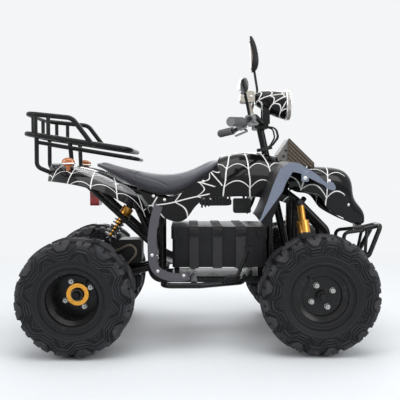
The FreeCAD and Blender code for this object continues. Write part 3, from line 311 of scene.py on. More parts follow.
def rubber(name, colour, dust):
    """Plain rubber with mould bloom and pale dust."""
    made = Finish(name, specular_ior_level=0.35)
    cloud = made.noise(6.0, 6.0, 0.65)
    grainy = made.noise(260.0, 3.0)
    made.set("Base Color", made.mix(cloud.ramp(0.42, 0.75) * 0.55 + grainy * 0.12, colour, dust))
    made.set("Roughness", cloud * 0.25 + 0.46 + grainy * 0.08)
    made.bump(grainy + cloud * 1.5, 0.0005, 0.5)
    return made.material


def tyre_rubber(name, colour, dust):
    """Tyre rubber: the relief attribute paints shade into the grooves and a pale bluish highlight on the
    raised faces, and leaves dust on the blocks' flanks.
    """
    made = Finish(name, specular_ior_level=0.25)
    relief = made.node("ShaderNodeAttribute", {"attribute_name": "relief"}, output=2)
    flank = relief.ramp(0.30, 0.42) * relief.ramp(0.92, 0.66)
    cloud = made.noise(9.0, 6.0, 0.65)
    grainy = made.noise(240.0, 3.0)
    # Raised faces take painted highlight: the rubber lightened 2.4 to 3.8 times as if lit from above.
    raised = made.mix(cloud.ramp(0.35, 0.75) * 0.6, tinted(colour, 2.4), tinted(colour, 3.8))
    # Low relief takes painted shade: the rubber darkened to a fifth, so the grooves read dark.
    tone = made.mix(relief.ramp(0.03, 0.24), tinted(colour, 0.2), raised)
    made.set("Base Color", made.mix(flank * cloud.ramp(0.42, 0.80), tone, dust))
    made.set("Roughness", cloud * 0.2 + 0.40 + grainy * 0.1)
    made.bump(grainy + cloud * 1.5, 0.0005, 0.5)
    return made.material


def moulded(name, colour, roughness, fade=1.5):
    """Grained moulded plastic with handling marks."""
    made = Finish(name, specular_ior_level=0.22)
    cloud = made.noise(11.0, 5.0, 0.6)
    fine = made.cells(700.0)
    marks = made.noise(80.0, 6.0, 0.75, stretch=(5.0, 1.0, 1.0)).ramp(0.62, 0.8)
    made.set("Base Color", made.mix(cloud * 0.7 + marks * 0.3, colour, tinted(colour, fade, 0.006)))
    made.set("Roughness", fine * 0.12 + roughness + marks * 0.12)
    made.bump(fine, 0.0003, 0.5)
    return made.material


def arch_trim(name, colour, dark, low, high, limit):
    """Satin plastic in a crescent: down the arch's rear leg it is dark past the line from low to high."""
    made = Finish(name, metallic=0.35, specular_ior_level=0.22)
    x, _, z = made.axes()
    ahead = (Vector(high) - Vector(low)).normalized()
    past = (x - low[0]) * ahead.z - (z - low[2]) * ahead.x
    inner = past.ramp(-0.0004, 0.0004) * x.ramp(limit + 0.0005, limit)
    cloud = made.noise(11.0, 5.0, 0.6)
    fine = made.cells(700.0)
    satin = made.mix(cloud * 0.7, colour, tinted(colour, 1.7))
    made.set("Base Color", made.mix(inner, satin, dark))
    made.set("Roughness", fine * 0.12 + 0.26)
    made.bump(fine, 0.0003, 0.5)
    return made.material


def lens(name, colour, deep, glow=0.0):
    """A coloured lamp lens with moulded flutes over a brighter core."""
    made = Finish(name, coat_weight=0.8, roughness=0.12, ior=1.5)
    _, y, z = made.axes()
    pitch = 0.008
    flutes = (y + z * 0.2).wave(pitch) * (1 / pitch)
    made.set("Base Color", made.mix(flutes, deep, colour))
    if glow:
        made.set("Emission Color", made.mix(flutes, tinted(deep, 0.5), colour))
        made.set("Emission Strength", glow)
    made.bump(flutes, 0.0008, 0.6)
    return made.material


def ribbed(name, colour, pale, pitch):
    """Moulded plastic with ribs along the slope, brown dust between them."""
    made = Finish(name)
    x, _, z = made.axes()
    rib = (z * 0.72 + x * 0.69).wave(pitch) * (2 / pitch)
    made.set("Base Color", made.mix(rib.ramp(0.2, 0.8), colour, pale))
    made.set("Roughness", rib * 0.2 + 0.4)
    made.bump(rib, 0.002, 0.8)
    return made.material


def webbing(name, colour, pale):
    """Woven strap: two crossing threads in steps of about 1.6 mm."""
    made = Finish(name, sheen_weight=0.3)
    x, y, z = made.axes()
    threads = 3900.0
    weave = (x * threads).sine() * ((y + z) * threads).sine()
    made.set("Base Color", made.mix(weave.ramp(-1.0, 1.0), colour, pale))
    made.set("Roughness", weave * 0.06 + 0.72)
    made.bump(weave, 0.0004, 0.7)
    return made.material


SMALL_FINISHES = {
    "chrome": (worn_metal, (0.74, 0.74, 0.73), (0.45, 0.42, 0.38), 0.12, 1.0, 0.15),
    "zinc_bolts": (worn_metal, (0.62, 0.62, 0.60), (0.30, 0.24, 0.15), 0.25, 1.0),
    "small_black": (moulded, BLACK, 0.30),
    "rib_rubber": (rubber, (0.10, 0.10, 0.105), (0.20, 0.20, 0.21)),
    "mirror_silver": (worn_metal, (0.42, 0.36, 0.33), (0.30, 0.26, 0.24), 0.08, 1.0, 0.1),
    "display_screen": (lens, (0.05, 0.06, 0.05), (0.02, 0.025, 0.02)),
}


def small_finish(name):
    """A finish that small parts share: made when it is first asked for and found after that."""
    kind, *values = SMALL_FINISHES[name]
    return bpy.data.materials.get(name) or kind(name, *values)


def dress(material, *nodes):
    """Give a material to the frame's own nodes."""
    for name in nodes:
        mesh = NODES[name].data
        mesh.materials.clear()
        mesh.materials.append(material)


# Meshes

def grid(points, wrap_columns=False):
    """Corners and four-sided faces of a grid of points, its last row joined to its first."""
    rows, columns = points.shape[:2]
    index = np.arange(rows * columns).reshape(rows, columns)
    index = np.vstack([index, index[:1]])
    if wrap_columns:
        index = np.hstack([index, index[:, :1]])
    faces = np.stack([index[:-1, :-1], index[1:, :-1], index[1:, 1:], index[:-1, 1:]], axis=-1)
    return points.reshape(-1, 3), faces.reshape(-1, 4)


def basis(axis):
    """Three unit directions: two across an axis and the axis itself."""
    axis = np.asarray(axis, float) / np.linalg.norm(axis)
    helper = np.array((0.0, 0.0, 1.0)) if abs(axis[2]) < 0.9 else np.array((1.0, 0.0, 0.0))
    first = np.cross(helper, axis)
    first /= np.linalg.norm(first)
    return first, np.cross(axis, first), axis


def circle(count):
    """Equal angles round a full turn, as a column."""
    return np.linspace(0, TAU, count, endpoint=False)[:, None]


def turned(profile, place, axis, spokes):
    """A profile of (radius, height) turned about an axis: p = place + r (cos t a + sin t b) + h axis."""
    first, second, along = basis(axis)
    profile = np.asarray(profile, float)
    turn = circle(spokes)
    ring = (np.cos(turn) * first + np.sin(turn) * second)[:, None]
    return grid(profile[None, :, :1] * ring + profile[None, :, 1:] * along + np.asarray(place, float))


def swept(path, radius, around):
    """A round bar along a closed path: p = path(s) + r (cos t n + sin t b), its frame kept level."""
    ahead = np.roll(path, -1, 0) - np.roll(path, 1, 0)
    ahead /= np.linalg.norm(ahead, axis=1)[:, None]
    helper = np.array((0.0, 0.0, 1.0)) if np.abs(ahead[:, 2]).max() < 0.95 else np.array((0.31, 0.93, 0.17))
    side = np.cross(ahead, helper)
    side /= np.linalg.norm(side, axis=1)[:, None]
    lift = np.cross(side, ahead)
    turn = circle(around)[None]
    return grid(path[:, None] + radius * (np.cos(turn) * side[:, None] + np.sin(turn) * lift[:, None]),
                wrap_columns=True)


def hoop(place, axis, wide, tall, thick, around, section):
    """A round bar bent into an ellipse: p = place + wide cos t a + tall sin t b."""
    first, second, _ = basis(axis)
    turn = circle(around)
    path = np.asarray(place, float) + wide * np.cos(turn) * first + tall * np.sin(turn) * second
    return swept(path, thick, section)


def slab(place, axis, across, along, height, corner=0.3, steps=24):
    """A flat pad with rounded corners: its outline is the curve |u|^n + |v|^n = 1 with n = 2 / corner."""
    first, second, out = basis(axis)
    turn = circle(steps * 4)
    u = np.sign(np.cos(turn)) * np.abs(np.cos(turn)) ** corner * across / 2
    v = np.sign(np.sin(turn)) * np.abs(np.sin(turn)) ** corner * along / 2
    ring = u * first + v * second
    edge = min(height * 0.3, 0.0008)
    levels = [(0, 0), (1, 0), (1, height - edge), (1 - 2 * edge / min(across, along), height), (0, height)]
    points = np.stack([ring * scale + out * level for scale, level in levels], axis=1)
    return grid(points + np.asarray(place, float))


def dome(place, axis, radius, height):
    """A round-headed bolt with a round socket, on a thin flange."""
    turn = np.linspace(0, math.pi / 2, 7)[1:-1]
    crown = [(radius * math.cos(angle), height * (0.25 + 0.75 * math.sin(angle))) for angle in turn]
    flange = [(0, 0), (radius * 1.25, 0), (radius * 1.25, height * 0.2), (radius, height * 0.25)]
    socket = [(radius * 0.45, height * 0.97), (radius * 0.45, height * 0.5), (0, height * 0.5)]
    return turned(flange + crown + socket, place, axis, 24)


def gather(parts):
    """One list of corners and faces from several."""
    corners, faces, start = [], [], 0
    for points, quads in parts:
        corners.append(points)
        faces.append(quads + start)
        start += len(points)
    return np.concatenate(corners), np.concatenate(faces)


def make_piece(name, parts, body, material, merge=0.00001, relief=None):
    """A mesh piece in the frame's own metres, that rides on a body and takes its slot."""
    corners, faces = gather(parts)
    mesh = bpy.data.meshes.new(name)
    mesh.vertices.add(len(corners))
    mesh.vertices.foreach_set("co", corners.astype(np.float32).ravel())
    mesh.loops.add(faces.size)
    mesh.loops.foreach_set("vertex_index", faces.astype(np.int32).ravel())
    mesh.polygons.add(len(faces))
    mesh.polygons.foreach_set("loop_start", np.arange(0, faces.size, 4, dtype=np.int32))
    mesh.update(calc_edges=True)
    if relief is not None:
        layer = mesh.attributes.new("relief", "FLOAT", "POINT")
        layer.data.foreach_set("value", relief.astype(np.float32).ravel())
    shape = bmesh.new()
    shape.from_mesh(mesh)
    if merge:
        bmesh.ops.remove_doubles(shape, verts=shape.verts, dist=merge)
        bmesh.ops.dissolve_degenerate(shape, edges=shape.edges, dist=merge / 10)
    bmesh.ops.recalc_face_normals(shape, faces=shape.faces)
    shape.to_mesh(mesh)
    shape.free()
    mesh.validate()
    piece = bpy.data.objects.new(name, mesh)
    bpy.context.scene.collection.objects.link(piece)
    piece.data.materials.append(material)
    mesh.shade_smooth()
    mesh.set_sharp_from_angle(angle=math.radians(38))
    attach(piece, body)
    return piece


def touch(node, start, ahead):
    """Where a straight look at a node first meets it, and which way its surface faces there."""
    mesh = NODES[node].data
    tree = BVHTree.FromPolygons([v.co for v in mesh.vertices], [list(f.vertices) for f in mesh.polygons])
    place, normal, _, _ = tree.ray_cast(Vector(start), Vector(ahead))
    if place is None:
        return None, None
    return np.array(place), np.array(normal if normal.dot(Vector(ahead)) < 0 else -normal)


# Tyres

TREAD_DEPTH = 0.013
LUG_HEIGHT = 0.010
BLOCK_EDGE = 0.0022
BEAD_REACH = 0.1043
BEAD_THICKNESS = 0.012
LINE_HEIGHT = 0.0032
LINE_EDGE = 0.0016
STEPPED_LINES = (0.0340, 0.0450, 0.0560)
STEPPED_HALF = 0.0038
STEPPED_SWING = 0.028
TENT_LINES = (0.0400, 0.0510)
TENT_HALF = 0.0034
TENT_SWING = 0.060
PLAIN_DROP = 0.0620
WALL_RINGS = (0.124, 0.1285, 0.150)
RING_HALF = 0.0018
TREAD_SLACK = 0.0002
WALL_SLACK = 0.0005


def wheel_body(end, name):
    """The body that a wheel turns with."""
    return "rear_wheels" if end == "rear" else "front_wheel_" + name


def smooth_step(value, low, high):
    """0 at low, 1 at high, with the curve 3 t^2 - 2 t^3 between them; a low above high turns it round."""
    ratio = np.clip((value - low) / (high - low), 0, 1)
    return ratio * ratio * (3 - 2 * ratio)


def stripe(value, level, half_width, edge=LINE_EDGE):
    """1 where a value is near a level, falling to 0 at half a width from it."""
    return smooth_step(half_width - np.abs(value - level), 0.0, edge)


def tyre_outline(wheel, count):
    """Half round of the carcass from bead to bead: a broken line laid out evenly, then smoothed."""
    half, half_rim, tread = wheel["width"] / 2, wheel["rim_width"] / 2, wheel["radius"] - TREAD_DEPTH
    side = [(BEAD_REACH, half_rim - 0.001), (0.116, half_rim + 0.001), (0.133, half - 0.005),
            (0.152, half - 0.0005), (0.166, half - 0.0025), (tread - 0.026, half - 0.0035),
            (tread - 0.005, half - 0.017), (tread, half * 0.45)]
    line = np.array(side + [(reach, -across) for reach, across in reversed(side)])
    steps = np.concatenate([[0], np.cumsum(np.linalg.norm(np.diff(line, axis=0), axis=1))])
    even = np.linspace(0, steps[-1], count)
    line = np.stack([np.interp(even, steps, line[:, 0]), np.interp(even, steps, line[:, 1])], axis=1)
    for _ in range(14):
        line[1:-1] = (line[:-2] + 2 * line[1:-1] + line[2:]) / 4
    return line


def tyre_relief(wheel, turn, reach, offset):
    """How far a tyre stands out of its carcass at each point, and the relief that sets its rubber's painted
    shade, painted highlight and dust.

    With f the place round the tyre in repeats, d the drop below the tread and s = 1 or -1 on the flanks,
    long lugs are |f - s/4| < 0.205 and short ones |f + s/4| < 0.165, both narrower down the flank and
    cleft along the middle, and bars |f + s/4 + skew| < 0.2 stand on the crown. On the walls, with z the
    zigzag 2 |f + s/4 - 1/2| and a and b the two swings, raised lines follow levels of
    d + a clip(2.4 z - 0.7), nested tents those of d - b |z - 1|, and rings those of the radius.
    """
    flank = np.where(offset >= 0, 1.0, -1.0)
    share = np.abs(offset) / (wheel["width"] / 2)
    phase = -(turn + math.pi / 2) * wheel["repeats"] / TAU
    repeat = TAU * wheel["radius"] / wheel["repeats"]
    drop = np.clip(wheel["radius"] - TREAD_DEPTH - reach, 0, 1)
    narrow = np.clip((drop - 0.006) / 0.020, 0, 1)

    def beside(middle):
        """The distance round the tread from the nearest repeat of a middle line."""
        return np.abs((phase - middle + 0.5) % 1.0 - 0.5) * repeat

    def block(inside):
        """1 well inside a block and 0 outside it, with a short sloped edge."""
        return smooth_step(inside, -BLOCK_EDGE, BLOCK_EDGE)

    def lug(middle, half_width, taper, foot):
        """A shoulder block: it narrows down the flank and ends at its foot."""
        return block(repeat * (half_width - taper * narrow) - beside(middle)) * block(foot - drop)

    long_lug = lug(flank / 4, half_width=0.205, taper=0.12, foot=0.027)
    short_lug = lug(-flank / 4, half_width=0.165, taper=0.10, foot=0.013)
    shoulder = np.maximum(long_lug, short_lug * 0.75) * smooth_step(share, 0.54, 0.58)
    cleft = np.minimum(beside(flank / 4), beside(-flank / 4))
    groove = 1 - 0.8 * stripe(cleft, 0, half_width=0.0040) * smooth_step(drop, 0.010, 0.006)
    sunk = 1 - 0.5 * smooth_step(drop, 0.006, 0.030)
    skew = 0.2 * (share - 0.06) / 0.40
    bar = block(repeat * 0.20 - beside(-flank / 4 - skew))
    bar = bar * smooth_step(share, 0.05, 0.08) * smooth_step(share, 0.50, 0.46)
    height = np.maximum(shoulder * LUG_HEIGHT * sunk * groove, bar * TREAD_DEPTH)

    zigzag = np.abs((phase + flank / 4) % 1.0 - 0.5) * 2
    contour = drop + STEPPED_SWING * np.clip(zigzag * 2.4 - 0.7, 0, 1)
    tent = drop - TENT_SWING * np.abs(zigzag - 1)
    lines = np.zeros_like(contour)
    for level in STEPPED_LINES:
        lines = np.maximum(lines, stripe(contour, level, STEPPED_HALF))
    for level in TENT_LINES:
        nested = stripe(tent, level, TENT_HALF) * smooth_step(contour, PLAIN_DROP, PLAIN_DROP + 0.0025)
        lines = np.maximum(lines, nested * smooth_step(drop, PLAIN_DROP + 0.0020, PLAIN_DROP))
    lines = lines * smooth_step(drop, 0.002, 0.006) * (1 - shoulder)
    for level in WALL_RINGS:
        lines = np.maximum(lines, stripe(reach, level, RING_HALF, edge=0.0012) * (share > 0.8))
    plain = smooth_step(drop, PLAIN_DROP - 0.0020, PLAIN_DROP + 0.0010)
    # This relief drives the rubber's painted shade in the grooves and painted highlight on lugs, lines and
    # rings.
    shown = np.maximum(np.maximum(height / TREAD_DEPTH, lines * 0.28), plain * 0.10)
    return np.minimum(height + lines * LINE_HEIGHT, wheel["radius"] - TREAD_SLACK - reach), shown


def tyre_piece(end, name, settings, material):
    """A knobbly tyre: p = centre + r(s) (cos t, 0, sin t) + y(s) Y, raised along the outline's normal."""
    wheel = WHEELS[end]
    half = wheel["width"] / 2 + WALL_SLACK
    outline = tyre_outline(wheel, settings.across)
    slope = np.gradient(outline, axis=0)
    normal = np.stack([-slope[:, 1], slope[:, 0]], axis=1)
    normal /= np.linalg.norm(normal, axis=1)[:, None]
    turn = circle(settings.around)
    height, relief = tyre_relief(wheel, turn, outline[:, 0][None], outline[:, 1][None])
    out = outline[None] + height[..., None] * normal[None]
    inner = np.tile(outline[[-1, 0], 1] + (BEAD_THICKNESS, -BEAD_THICKNESS), (len(turn), 1))
    crown = wheel["radius"] - TREAD_SLACK
    reach = np.hstack([np.minimum(out[..., 0], crown), np.full_like(inner, BEAD_REACH)])
    across = np.hstack([np.clip(out[..., 1], -half, half), inner])
    x, z = wheel["axle"]
    y = SIDES[name] * wheel["middle"]
    points = np.stack([x + reach * np.cos(turn), y + across, z + reach * np.sin(turn)], axis=-1)
    relief = np.hstack([relief, np.zeros_like(inner)])
    piece = make_piece("tyre_%s_%s" % (end, name), [grid(points, wrap_columns=True)], wheel_body(end, name),
                       material, merge=0, relief=relief)
    node = "%s_tyre_%s" % (end, name)
    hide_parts(node)


# Wheel hardware

NUT_ANGLE = 27.6
NUT_ACROSS = 0.0188
NUT_HEIGHT = 0.0150


def on_wheel(wheel, side, reach, angle, level):
    """A point at a radius and an angle about a wheel's axle, at a level across the quad."""
    x, z = wheel["axle"]
    return (x + reach * math.cos(angle), side * level, z + reach * math.sin(angle))


def washer(flat, rim, bulge, thick, place, axis, spokes):
    """A flat washer with a rounded edge, closed in the middle under its nut."""
    return turned([(0, 0), (flat, 0), (rim, bulge), (flat, thick), (0, thick)], place, axis, spokes)


def nut(place, axis, across, height):
    """A chamfered six-sided nut on a washer, with the stud's end standing out of it."""
    wide = across / math.sqrt(3)
    bore, thread = across * 0.27, across * 0.25
    head = [(0, 0.0022), (wide * 0.92, 0.0022), (wide, 0.0032), (wide, height - 0.002),
            (wide * 0.86, height), (bore, height), (bore, height - 0.001), (0, height - 0.001)]
    stud = [(0, height - 0.002), (thread, height - 0.002)]
    for turn in range(3):
        level = height + 0.0008 + turn * 0.0016
        stud += [(thread, level), (across * 0.21, level + 0.0008)]
    stud += [(across * 0.16, height + 0.0062), (0, height + 0.0062)]
    return [turned(head, place, axis, 6), washer(wide * 1.01, wide * 1.04, 0.0006, 0.0024, place, axis, 28),
            turned(stud, place, axis, 16)]


def wheel_nuts(wheel, side):
    """The four nuts of a wheel, a quarter turn apart."""
    parts = []
    for quarter in range(4):
        angle = math.radians(NUT_ANGLE + 90 * quarter)
        place = on_wheel(wheel, side, wheel["nut_circle"] / 2, angle, wheel["nut_face"])
        parts += nut(place, (0, side, 0), NUT_ACROSS, NUT_HEIGHT)
    return parts


def rim_step(wheel, side):
    """The stepped ring between a front rim's disc and its barrel."""
    step = [(0.0745, 0.0), (0.0745, 0.0045), (0.0770, 0.0080), (0.0920, 0.0110), (0.0955, 0.0150),
            (0.0990, 0.0158), (0.0990, 0.0)]
    return turned(step + step[:1], on_wheel(wheel, side, 0, 0, 0.3882), (0, side, 0), 96)


def axle_cap(wheel, side):
    """A domed six-sided cap on a washer, at an axle's end."""
    centre, axis = on_wheel(wheel, side, 0, 0, wheel["cap_face"]), (0, side, 0)
    crown = [(0, 0), (0.0150, 0), (0.0150, 0.008), (0.0125, 0.0125), (0.0070, 0.0145), (0, 0.0145)]
    return [turned(crown, centre, axis, 6), washer(0.0205, 0.0210, 0.0008, 0.0026, centre, axis, 40)]


def valve(wheel, side):
    """A rubber valve stem with a ribbed cap, on the outer wall of a rim."""
    angle = wheel["valve_turn"]
    profile = [(0, 0), (0.0055, 0), (0.0055, 0.006), (0.0042, 0.010), (0.0038, 0.020), (0.0048, 0.0205),
               (0.0048, 0.028), (0.0038, 0.0295), (0, 0.0295)]
    lean = (-0.5 * math.cos(angle), side, -0.5 * math.sin(angle))
    return turned(profile, on_wheel(wheel, side, wheel["valve_reach"], angle, wheel["valve_face"]), lean, 18)


# Mirrors

RIGHT_MIRROR = (0.112, -0.230, 1.031)
LEFT_MIRROR = (0.225, 0.330, 1.182)
LEFT_LEAN = math.radians(-3.3)


def mirror_place(share, across, lift, right):
    """A point on a mirror's back, at a share t of its length and a share q of its half width there.

    With s the size at t: x = T s (1 - sqrt(1 - q^2)) / 2 - lift, y = W s q / 2, z = L t.
    """
    thick, wide, length = 0.038, 0.062, 0.172
    size = np.interp(share, (0, 0.1, 0.3, 0.55, 0.8, 1), (0.36, 0.78, 1.0, 0.94, 0.7, 0.3))
    x = thick * size * (1 - np.sqrt(1 - across ** 2)) / 2 - lift
    y = wide / 2 * size * across
    z = length * share
    if right:
        return np.stack([x, -z, y], axis=-1) + RIGHT_MIRROR
    along, up = math.sin(LEFT_LEAN), math.cos(LEFT_LEAN)
    return np.stack([x * up + z * along, y, z * up - x * along], axis=-1) + LEFT_MIRROR


def mirror_glass(right):
    """The glass on a mirror's back, an ellipse in (t, q), and the bar round its edge."""
    turn = circle(64)
    middle = 0.47
    spread = np.array([[0.0, 0.15, 0.3, 0.45, 0.6, 0.75, 0.9, 1.0, 1.0]])
    lift = np.where(np.arange(9) < 8, 0.0012, -0.0006)[None]
    share, across = middle + 0.37 * spread * np.sin(turn), 0.78 * spread * np.cos(turn)
    edge = mirror_place(middle + 0.39 * np.sin(turn[:, 0]), 0.84 * np.cos(turn[:, 0]), 0.0004, right)
    return grid(mirror_place(share, across, lift, right)), swept(edge, 0.0019, 8)


# Saddle

SEAM = ((-0.330, 0.700), (-0.272, 0.680), (-0.210, 0.664), (-0.160, 0.636), (-0.120, 0.604))
CLOTH_FRAMES = 20


def vectors(items, key):
    """One vector of each item, as the rows of an array."""
    found = np.zeros(len(items) * 3, np.float32)
    items.foreach_get(key, found)
    return found.reshape(-1, 3).astype(float)


def place_points(mesh, points):
    """Move a mesh's points to new places."""
    mesh.vertices.foreach_set("co", points.astype(np.float32).ravel())
    mesh.update()


def evaluated(piece):
    """The piece's mesh with its modifiers applied."""
    graph = bpy.context.evaluated_depsgraph_get()
    return bpy.data.meshes.new_from_object(piece.evaluated_get(graph))


def finish_modifiers(piece):
    """Keep the mesh that a piece's modifiers make, and drop them."""
    mesh = evaluated(piece)
    piece.modifiers.clear()
    piece.data = mesh


def to_line(points, line):
    """The distance from each point to a broken line, both in one plane."""
    nearest = np.full(len(points), 1e9)
    for start, end in zip(line[:-1], line[1:]):
        run = end - start
        share = np.clip(((points - start) @ run) / (run @ run), 0, 1)
        nearest = np.minimum(nearest, np.linalg.norm(points - start - share[:, None] * run, axis=1))
    return nearest


def saddle_blank(settings):
    """The frame's solid as a piece of its own, remeshed evenly."""
    mesh = NODES["seat"].data.copy()
    shape = bmesh.new()
    shape.from_mesh(mesh)
    bmesh.ops.remove_doubles(shape, verts=shape.verts, dist=0.0002)
    bmesh.ops.recalc_face_normals(shape, faces=shape.faces)
    shape.to_mesh(mesh)
    shape.free()
    piece = bpy.data.objects.new("saddle", mesh)
    bpy.context.scene.collection.objects.link(piece)
    remesh = piece.modifiers.new("even", "REMESH")
    remesh.mode = "VOXEL"
    remesh.voxel_size = settings.voxel
    finish_modifiers(piece)
    return piece


def swell(piece, start, limit):
    """Blow a piece up as cloth under pressure, and let each point move by no more than a limit."""
    cloth = piece.modifiers.new("swell", "CLOTH")
    cloth.settings.use_pressure = True
    cloth.settings.uniform_pressure_force = 4.0
    cloth.settings.effector_weights.gravity = 0.0
    cloth.point_cache.frame_start = 1
    cloth.point_cache.frame_end = CLOTH_FRAMES
    for step in range(1, CLOTH_FRAMES + 1):
        bpy.context.scene.frame_set(step)
    swollen = vectors(evaluated(piece).vertices, "co")
    piece.modifiers.clear()
    bpy.context.scene.frame_set(1)
    move = swollen - start
    length = np.linalg.norm(move, axis=1)
    place_points(piece.data, start + move * np.minimum(1, limit / np.maximum(length, 1e-9))[:, None])


def stitch(piece):
    """Sink a seam and a crease as exp(-(distance / width)^2), with a ridge beside the seam."""
    low, high = (np.array(corner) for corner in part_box("seat"))
    points = vectors(piece.data.vertices, "co")
    out = vectors(piece.data.vertex_normals, "vector")
    side = smooth_step(np.abs(out[:, 1]), 0.25, 0.6)
    away = to_line(points[:, [0, 2]], np.array(SEAM))
    groove = np.exp(-(away / 0.0026) ** 2) * side
    past_crease = points[:, 0] + 0.308 + 0.10 * (points[:, 2] - 0.70)
    crease = np.exp(-(past_crease / 0.0032) ** 2) * (points[:, 2] > 0.62)
    ridge = np.exp(-((away - 0.008) / 0.006) ** 2) * side
    under = points[:, 2] < low[2] + 0.25 * (high[2] - low[2])
    depth = np.where(under, 0, groove * 0.0026 + crease * 0.0022 - ridge * 0.0008)
    place_points(piece.data, np.clip(points - out * depth[:, None], low + 0.0002, high - 0.0002))


def saddle_piece(settings, material):
    """The saddle: the frame's solid remeshed, drawn in, swollen as cloth under pressure and stitched."""
    piece = saddle_blank(settings)
    rest = vectors(piece.data.vertices, "co")
    start = rest - vectors(piece.data.vertex_normals, "vector") * settings.inset
    place_points(piece.data, start)
    swell(piece, start, settings.swell)
    smooth = piece.modifiers.new("even_out", "SMOOTH")
    smooth.factor = 0.5
    smooth.iterations = 8
    finer = piece.modifiers.new("finer", "SUBSURF")
    finer.levels = finer.render_levels = 1
    finish_modifiers(piece)
    stitch(piece)
    piece.data.materials.clear()
    piece.data.materials.append(material)
    piece.data.shade_smooth()
    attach(piece, "chassis")
    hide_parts("seat")


# Stage

def aim_camera(scene, focal_length):
    """Look at the quad from its right side, a little turned and tilted down."""
    camera = bpy.data.objects.new("camera", bpy.data.cameras.new("camera"))
    scene.collection.objects.link(camera)
    camera.data.lens = focal_length
    camera.data.sensor_width = 36.0
    yaw, pitch = 0.021, 0.042
    ahead = Vector((math.sin(yaw) * math.cos(pitch), math.cos(yaw) * math.cos(pitch), -math.sin(pitch)))
    camera.location = (-0.0884, -2.7380, 0.6929)
    camera.rotation_euler = ahead.to_track_quat("-Z", "Y").to_euler()
    camera.data.clip_end = 60
    scene.camera = camera


def lay_floor(scene, colour):
    """A wide sheet of paper that the camera sees fade into the white surround."""
    floor = Finish("floor_paper", roughness=0.6, specular_ior_level=0.2)
    x, y, _ = floor.axes()
    floor.set("Base Color", floor.mix(floor.noise(1.3, 2.0) * 0.15, colour, (0.86, 0.87, 0.88)))
    seen = floor.node("ShaderNodeLightPath", output="Is Camera Ray")
    fade = (x * x + y * y).root().ramp(1.1, 3.2) * seen
    plain = floor.node("ShaderNodeEmission", None, Color=PAPER)
    blend = floor.node("ShaderNodeMixShader", None, fade, Sig(floor, floor.shader.outputs[0]), plain)
    floor.feed(floor.tree.nodes["Material Output"].inputs["Surface"], blend)
    sheet = bpy.data.meshes.new("floor")
    sheet.from_pydata([(-30, -30, 0), (30, -30, 0), (30, 30, 0), (-30, 30, 0)], [], [(0, 1, 2, 3)])
    sheet.materials.append(floor.material)
    ground_plane = bpy.data.objects.new("floor", sheet)
    scene.collection.objects.link(ground_plane)


def light_sky(scene):
    """A white surround for the camera and in reflections, and a dimmer one that lights the quad."""
    world = bpy.data.worlds.new("studio")
    scene.world = world
    world.use_nodes = True
    sky = Shading(world.node_tree)
    dim = sky.tree.nodes["Background"]
    sky.feed(dim.inputs["Color"], (1.0, 1.0, 1.0, 1.0))
    sky.feed(dim.inputs["Strength"], 0.55)
    bright = sky.node("ShaderNodeBackground", None, Color=PAPER)
    rays = ("Is Camera Ray", "Is Glossy Ray", "Is Transmission Ray")
    camera, glossy, through = sky.node("ShaderNodeLightPath", output=rays)
    seen = camera.greater(glossy.greater(through))
    both = sky.node("ShaderNodeMixShader", None, seen, Sig(sky, dim.outputs[0]), bright)
    sky.feed(sky.tree.nodes["World Output"].inputs["Surface"], both)


def hang_lamps(scene):
    """Four soft lamps: above, off both ends of the right side, and beyond the left side."""
    for name, place, aim, size, power in (
        ("lamp_top", (0.2, -0.6, 3.2), (0, 0, 0.3), 3.0, 60),
        ("lamp_front", (2.6, -2.6, 1.9), (0.2, 0, 0.5), 1.8, 40),
        ("lamp_rear", (-2.8, -2.2, 1.9), (-0.3, 0, 0.5), 1.8, 32),
        ("lamp_back", (0.0, 2.8, 2.2), (0, 0, 0.5), 2.2, 35),
    ):
        lamp = bpy.data.objects.new(name, bpy.data.lights.new(name, "AREA"))
        lamp.data.size = size
        lamp.data.energy = power
        lamp.location = place
        lamp.rotation_euler = (Vector(aim) - Vector(place)).to_track_quat("-Z", "Y").to_euler()
        scene.collection.objects.link(lamp)


# Settings

class PaintSettings(bpy.types.PropertyGroup):
    body: FloatVectorProperty(name="Body", description="Colour of the gloss panels", subtype="COLOR",
                              default=(0.0035, 0.0035, 0.0040))
    frame: FloatVectorProperty(name="Frame", description="Colour of the tubes", subtype="COLOR",
                               default=(0.0050, 0.0050, 0.0055))
    gold: FloatVectorProperty(name="Springs", description="Colour of the springs and hub rings",
                              subtype="COLOR", default=(0.72, 0.34, 0.05))
    trim: FloatVectorProperty(name="Trim", description="Colour of the wheel arches' edges", subtype="COLOR",
                              default=(0.150, 0.172, 0.222))
    line: FloatProperty(name="Line", description="Width of the web lines", unit="LENGTH", default=0.0034)


class TyreSettings(bpy.types.PropertyGroup):
    around: IntProperty(name="Around", description="Faces round a tyre", default=576, min=96)
    across: IntProperty(name="Across", description="Faces from bead to bead", default=142, min=40)
    colour: FloatVectorProperty(name="Rubber", description="Colour of the rubber", subtype="COLOR",
                                default=(0.0070, 0.0073, 0.0086))


class SaddleSettings(bpy.types.PropertyGroup):
    voxel: FloatProperty(name="Voxel", description="Size of the remesh", unit="LENGTH", default=0.006)
    inset: FloatProperty(name="Inset", description="How far the form is drawn in", unit="LENGTH",
                         default=0.0045)
    swell: FloatProperty(name="Swell", description="How far the cloth may move", unit="LENGTH",
                         default=0.006)


class StageSettings(bpy.types.PropertyGroup):
    floor: FloatVectorProperty(name="Floor", description="Colour of the floor", subtype="COLOR",
                               default=(0.80, 0.83, 0.86))
    lens: FloatProperty(name="Lens", description="Focal length in millimetres", default=56.73)


# Operators

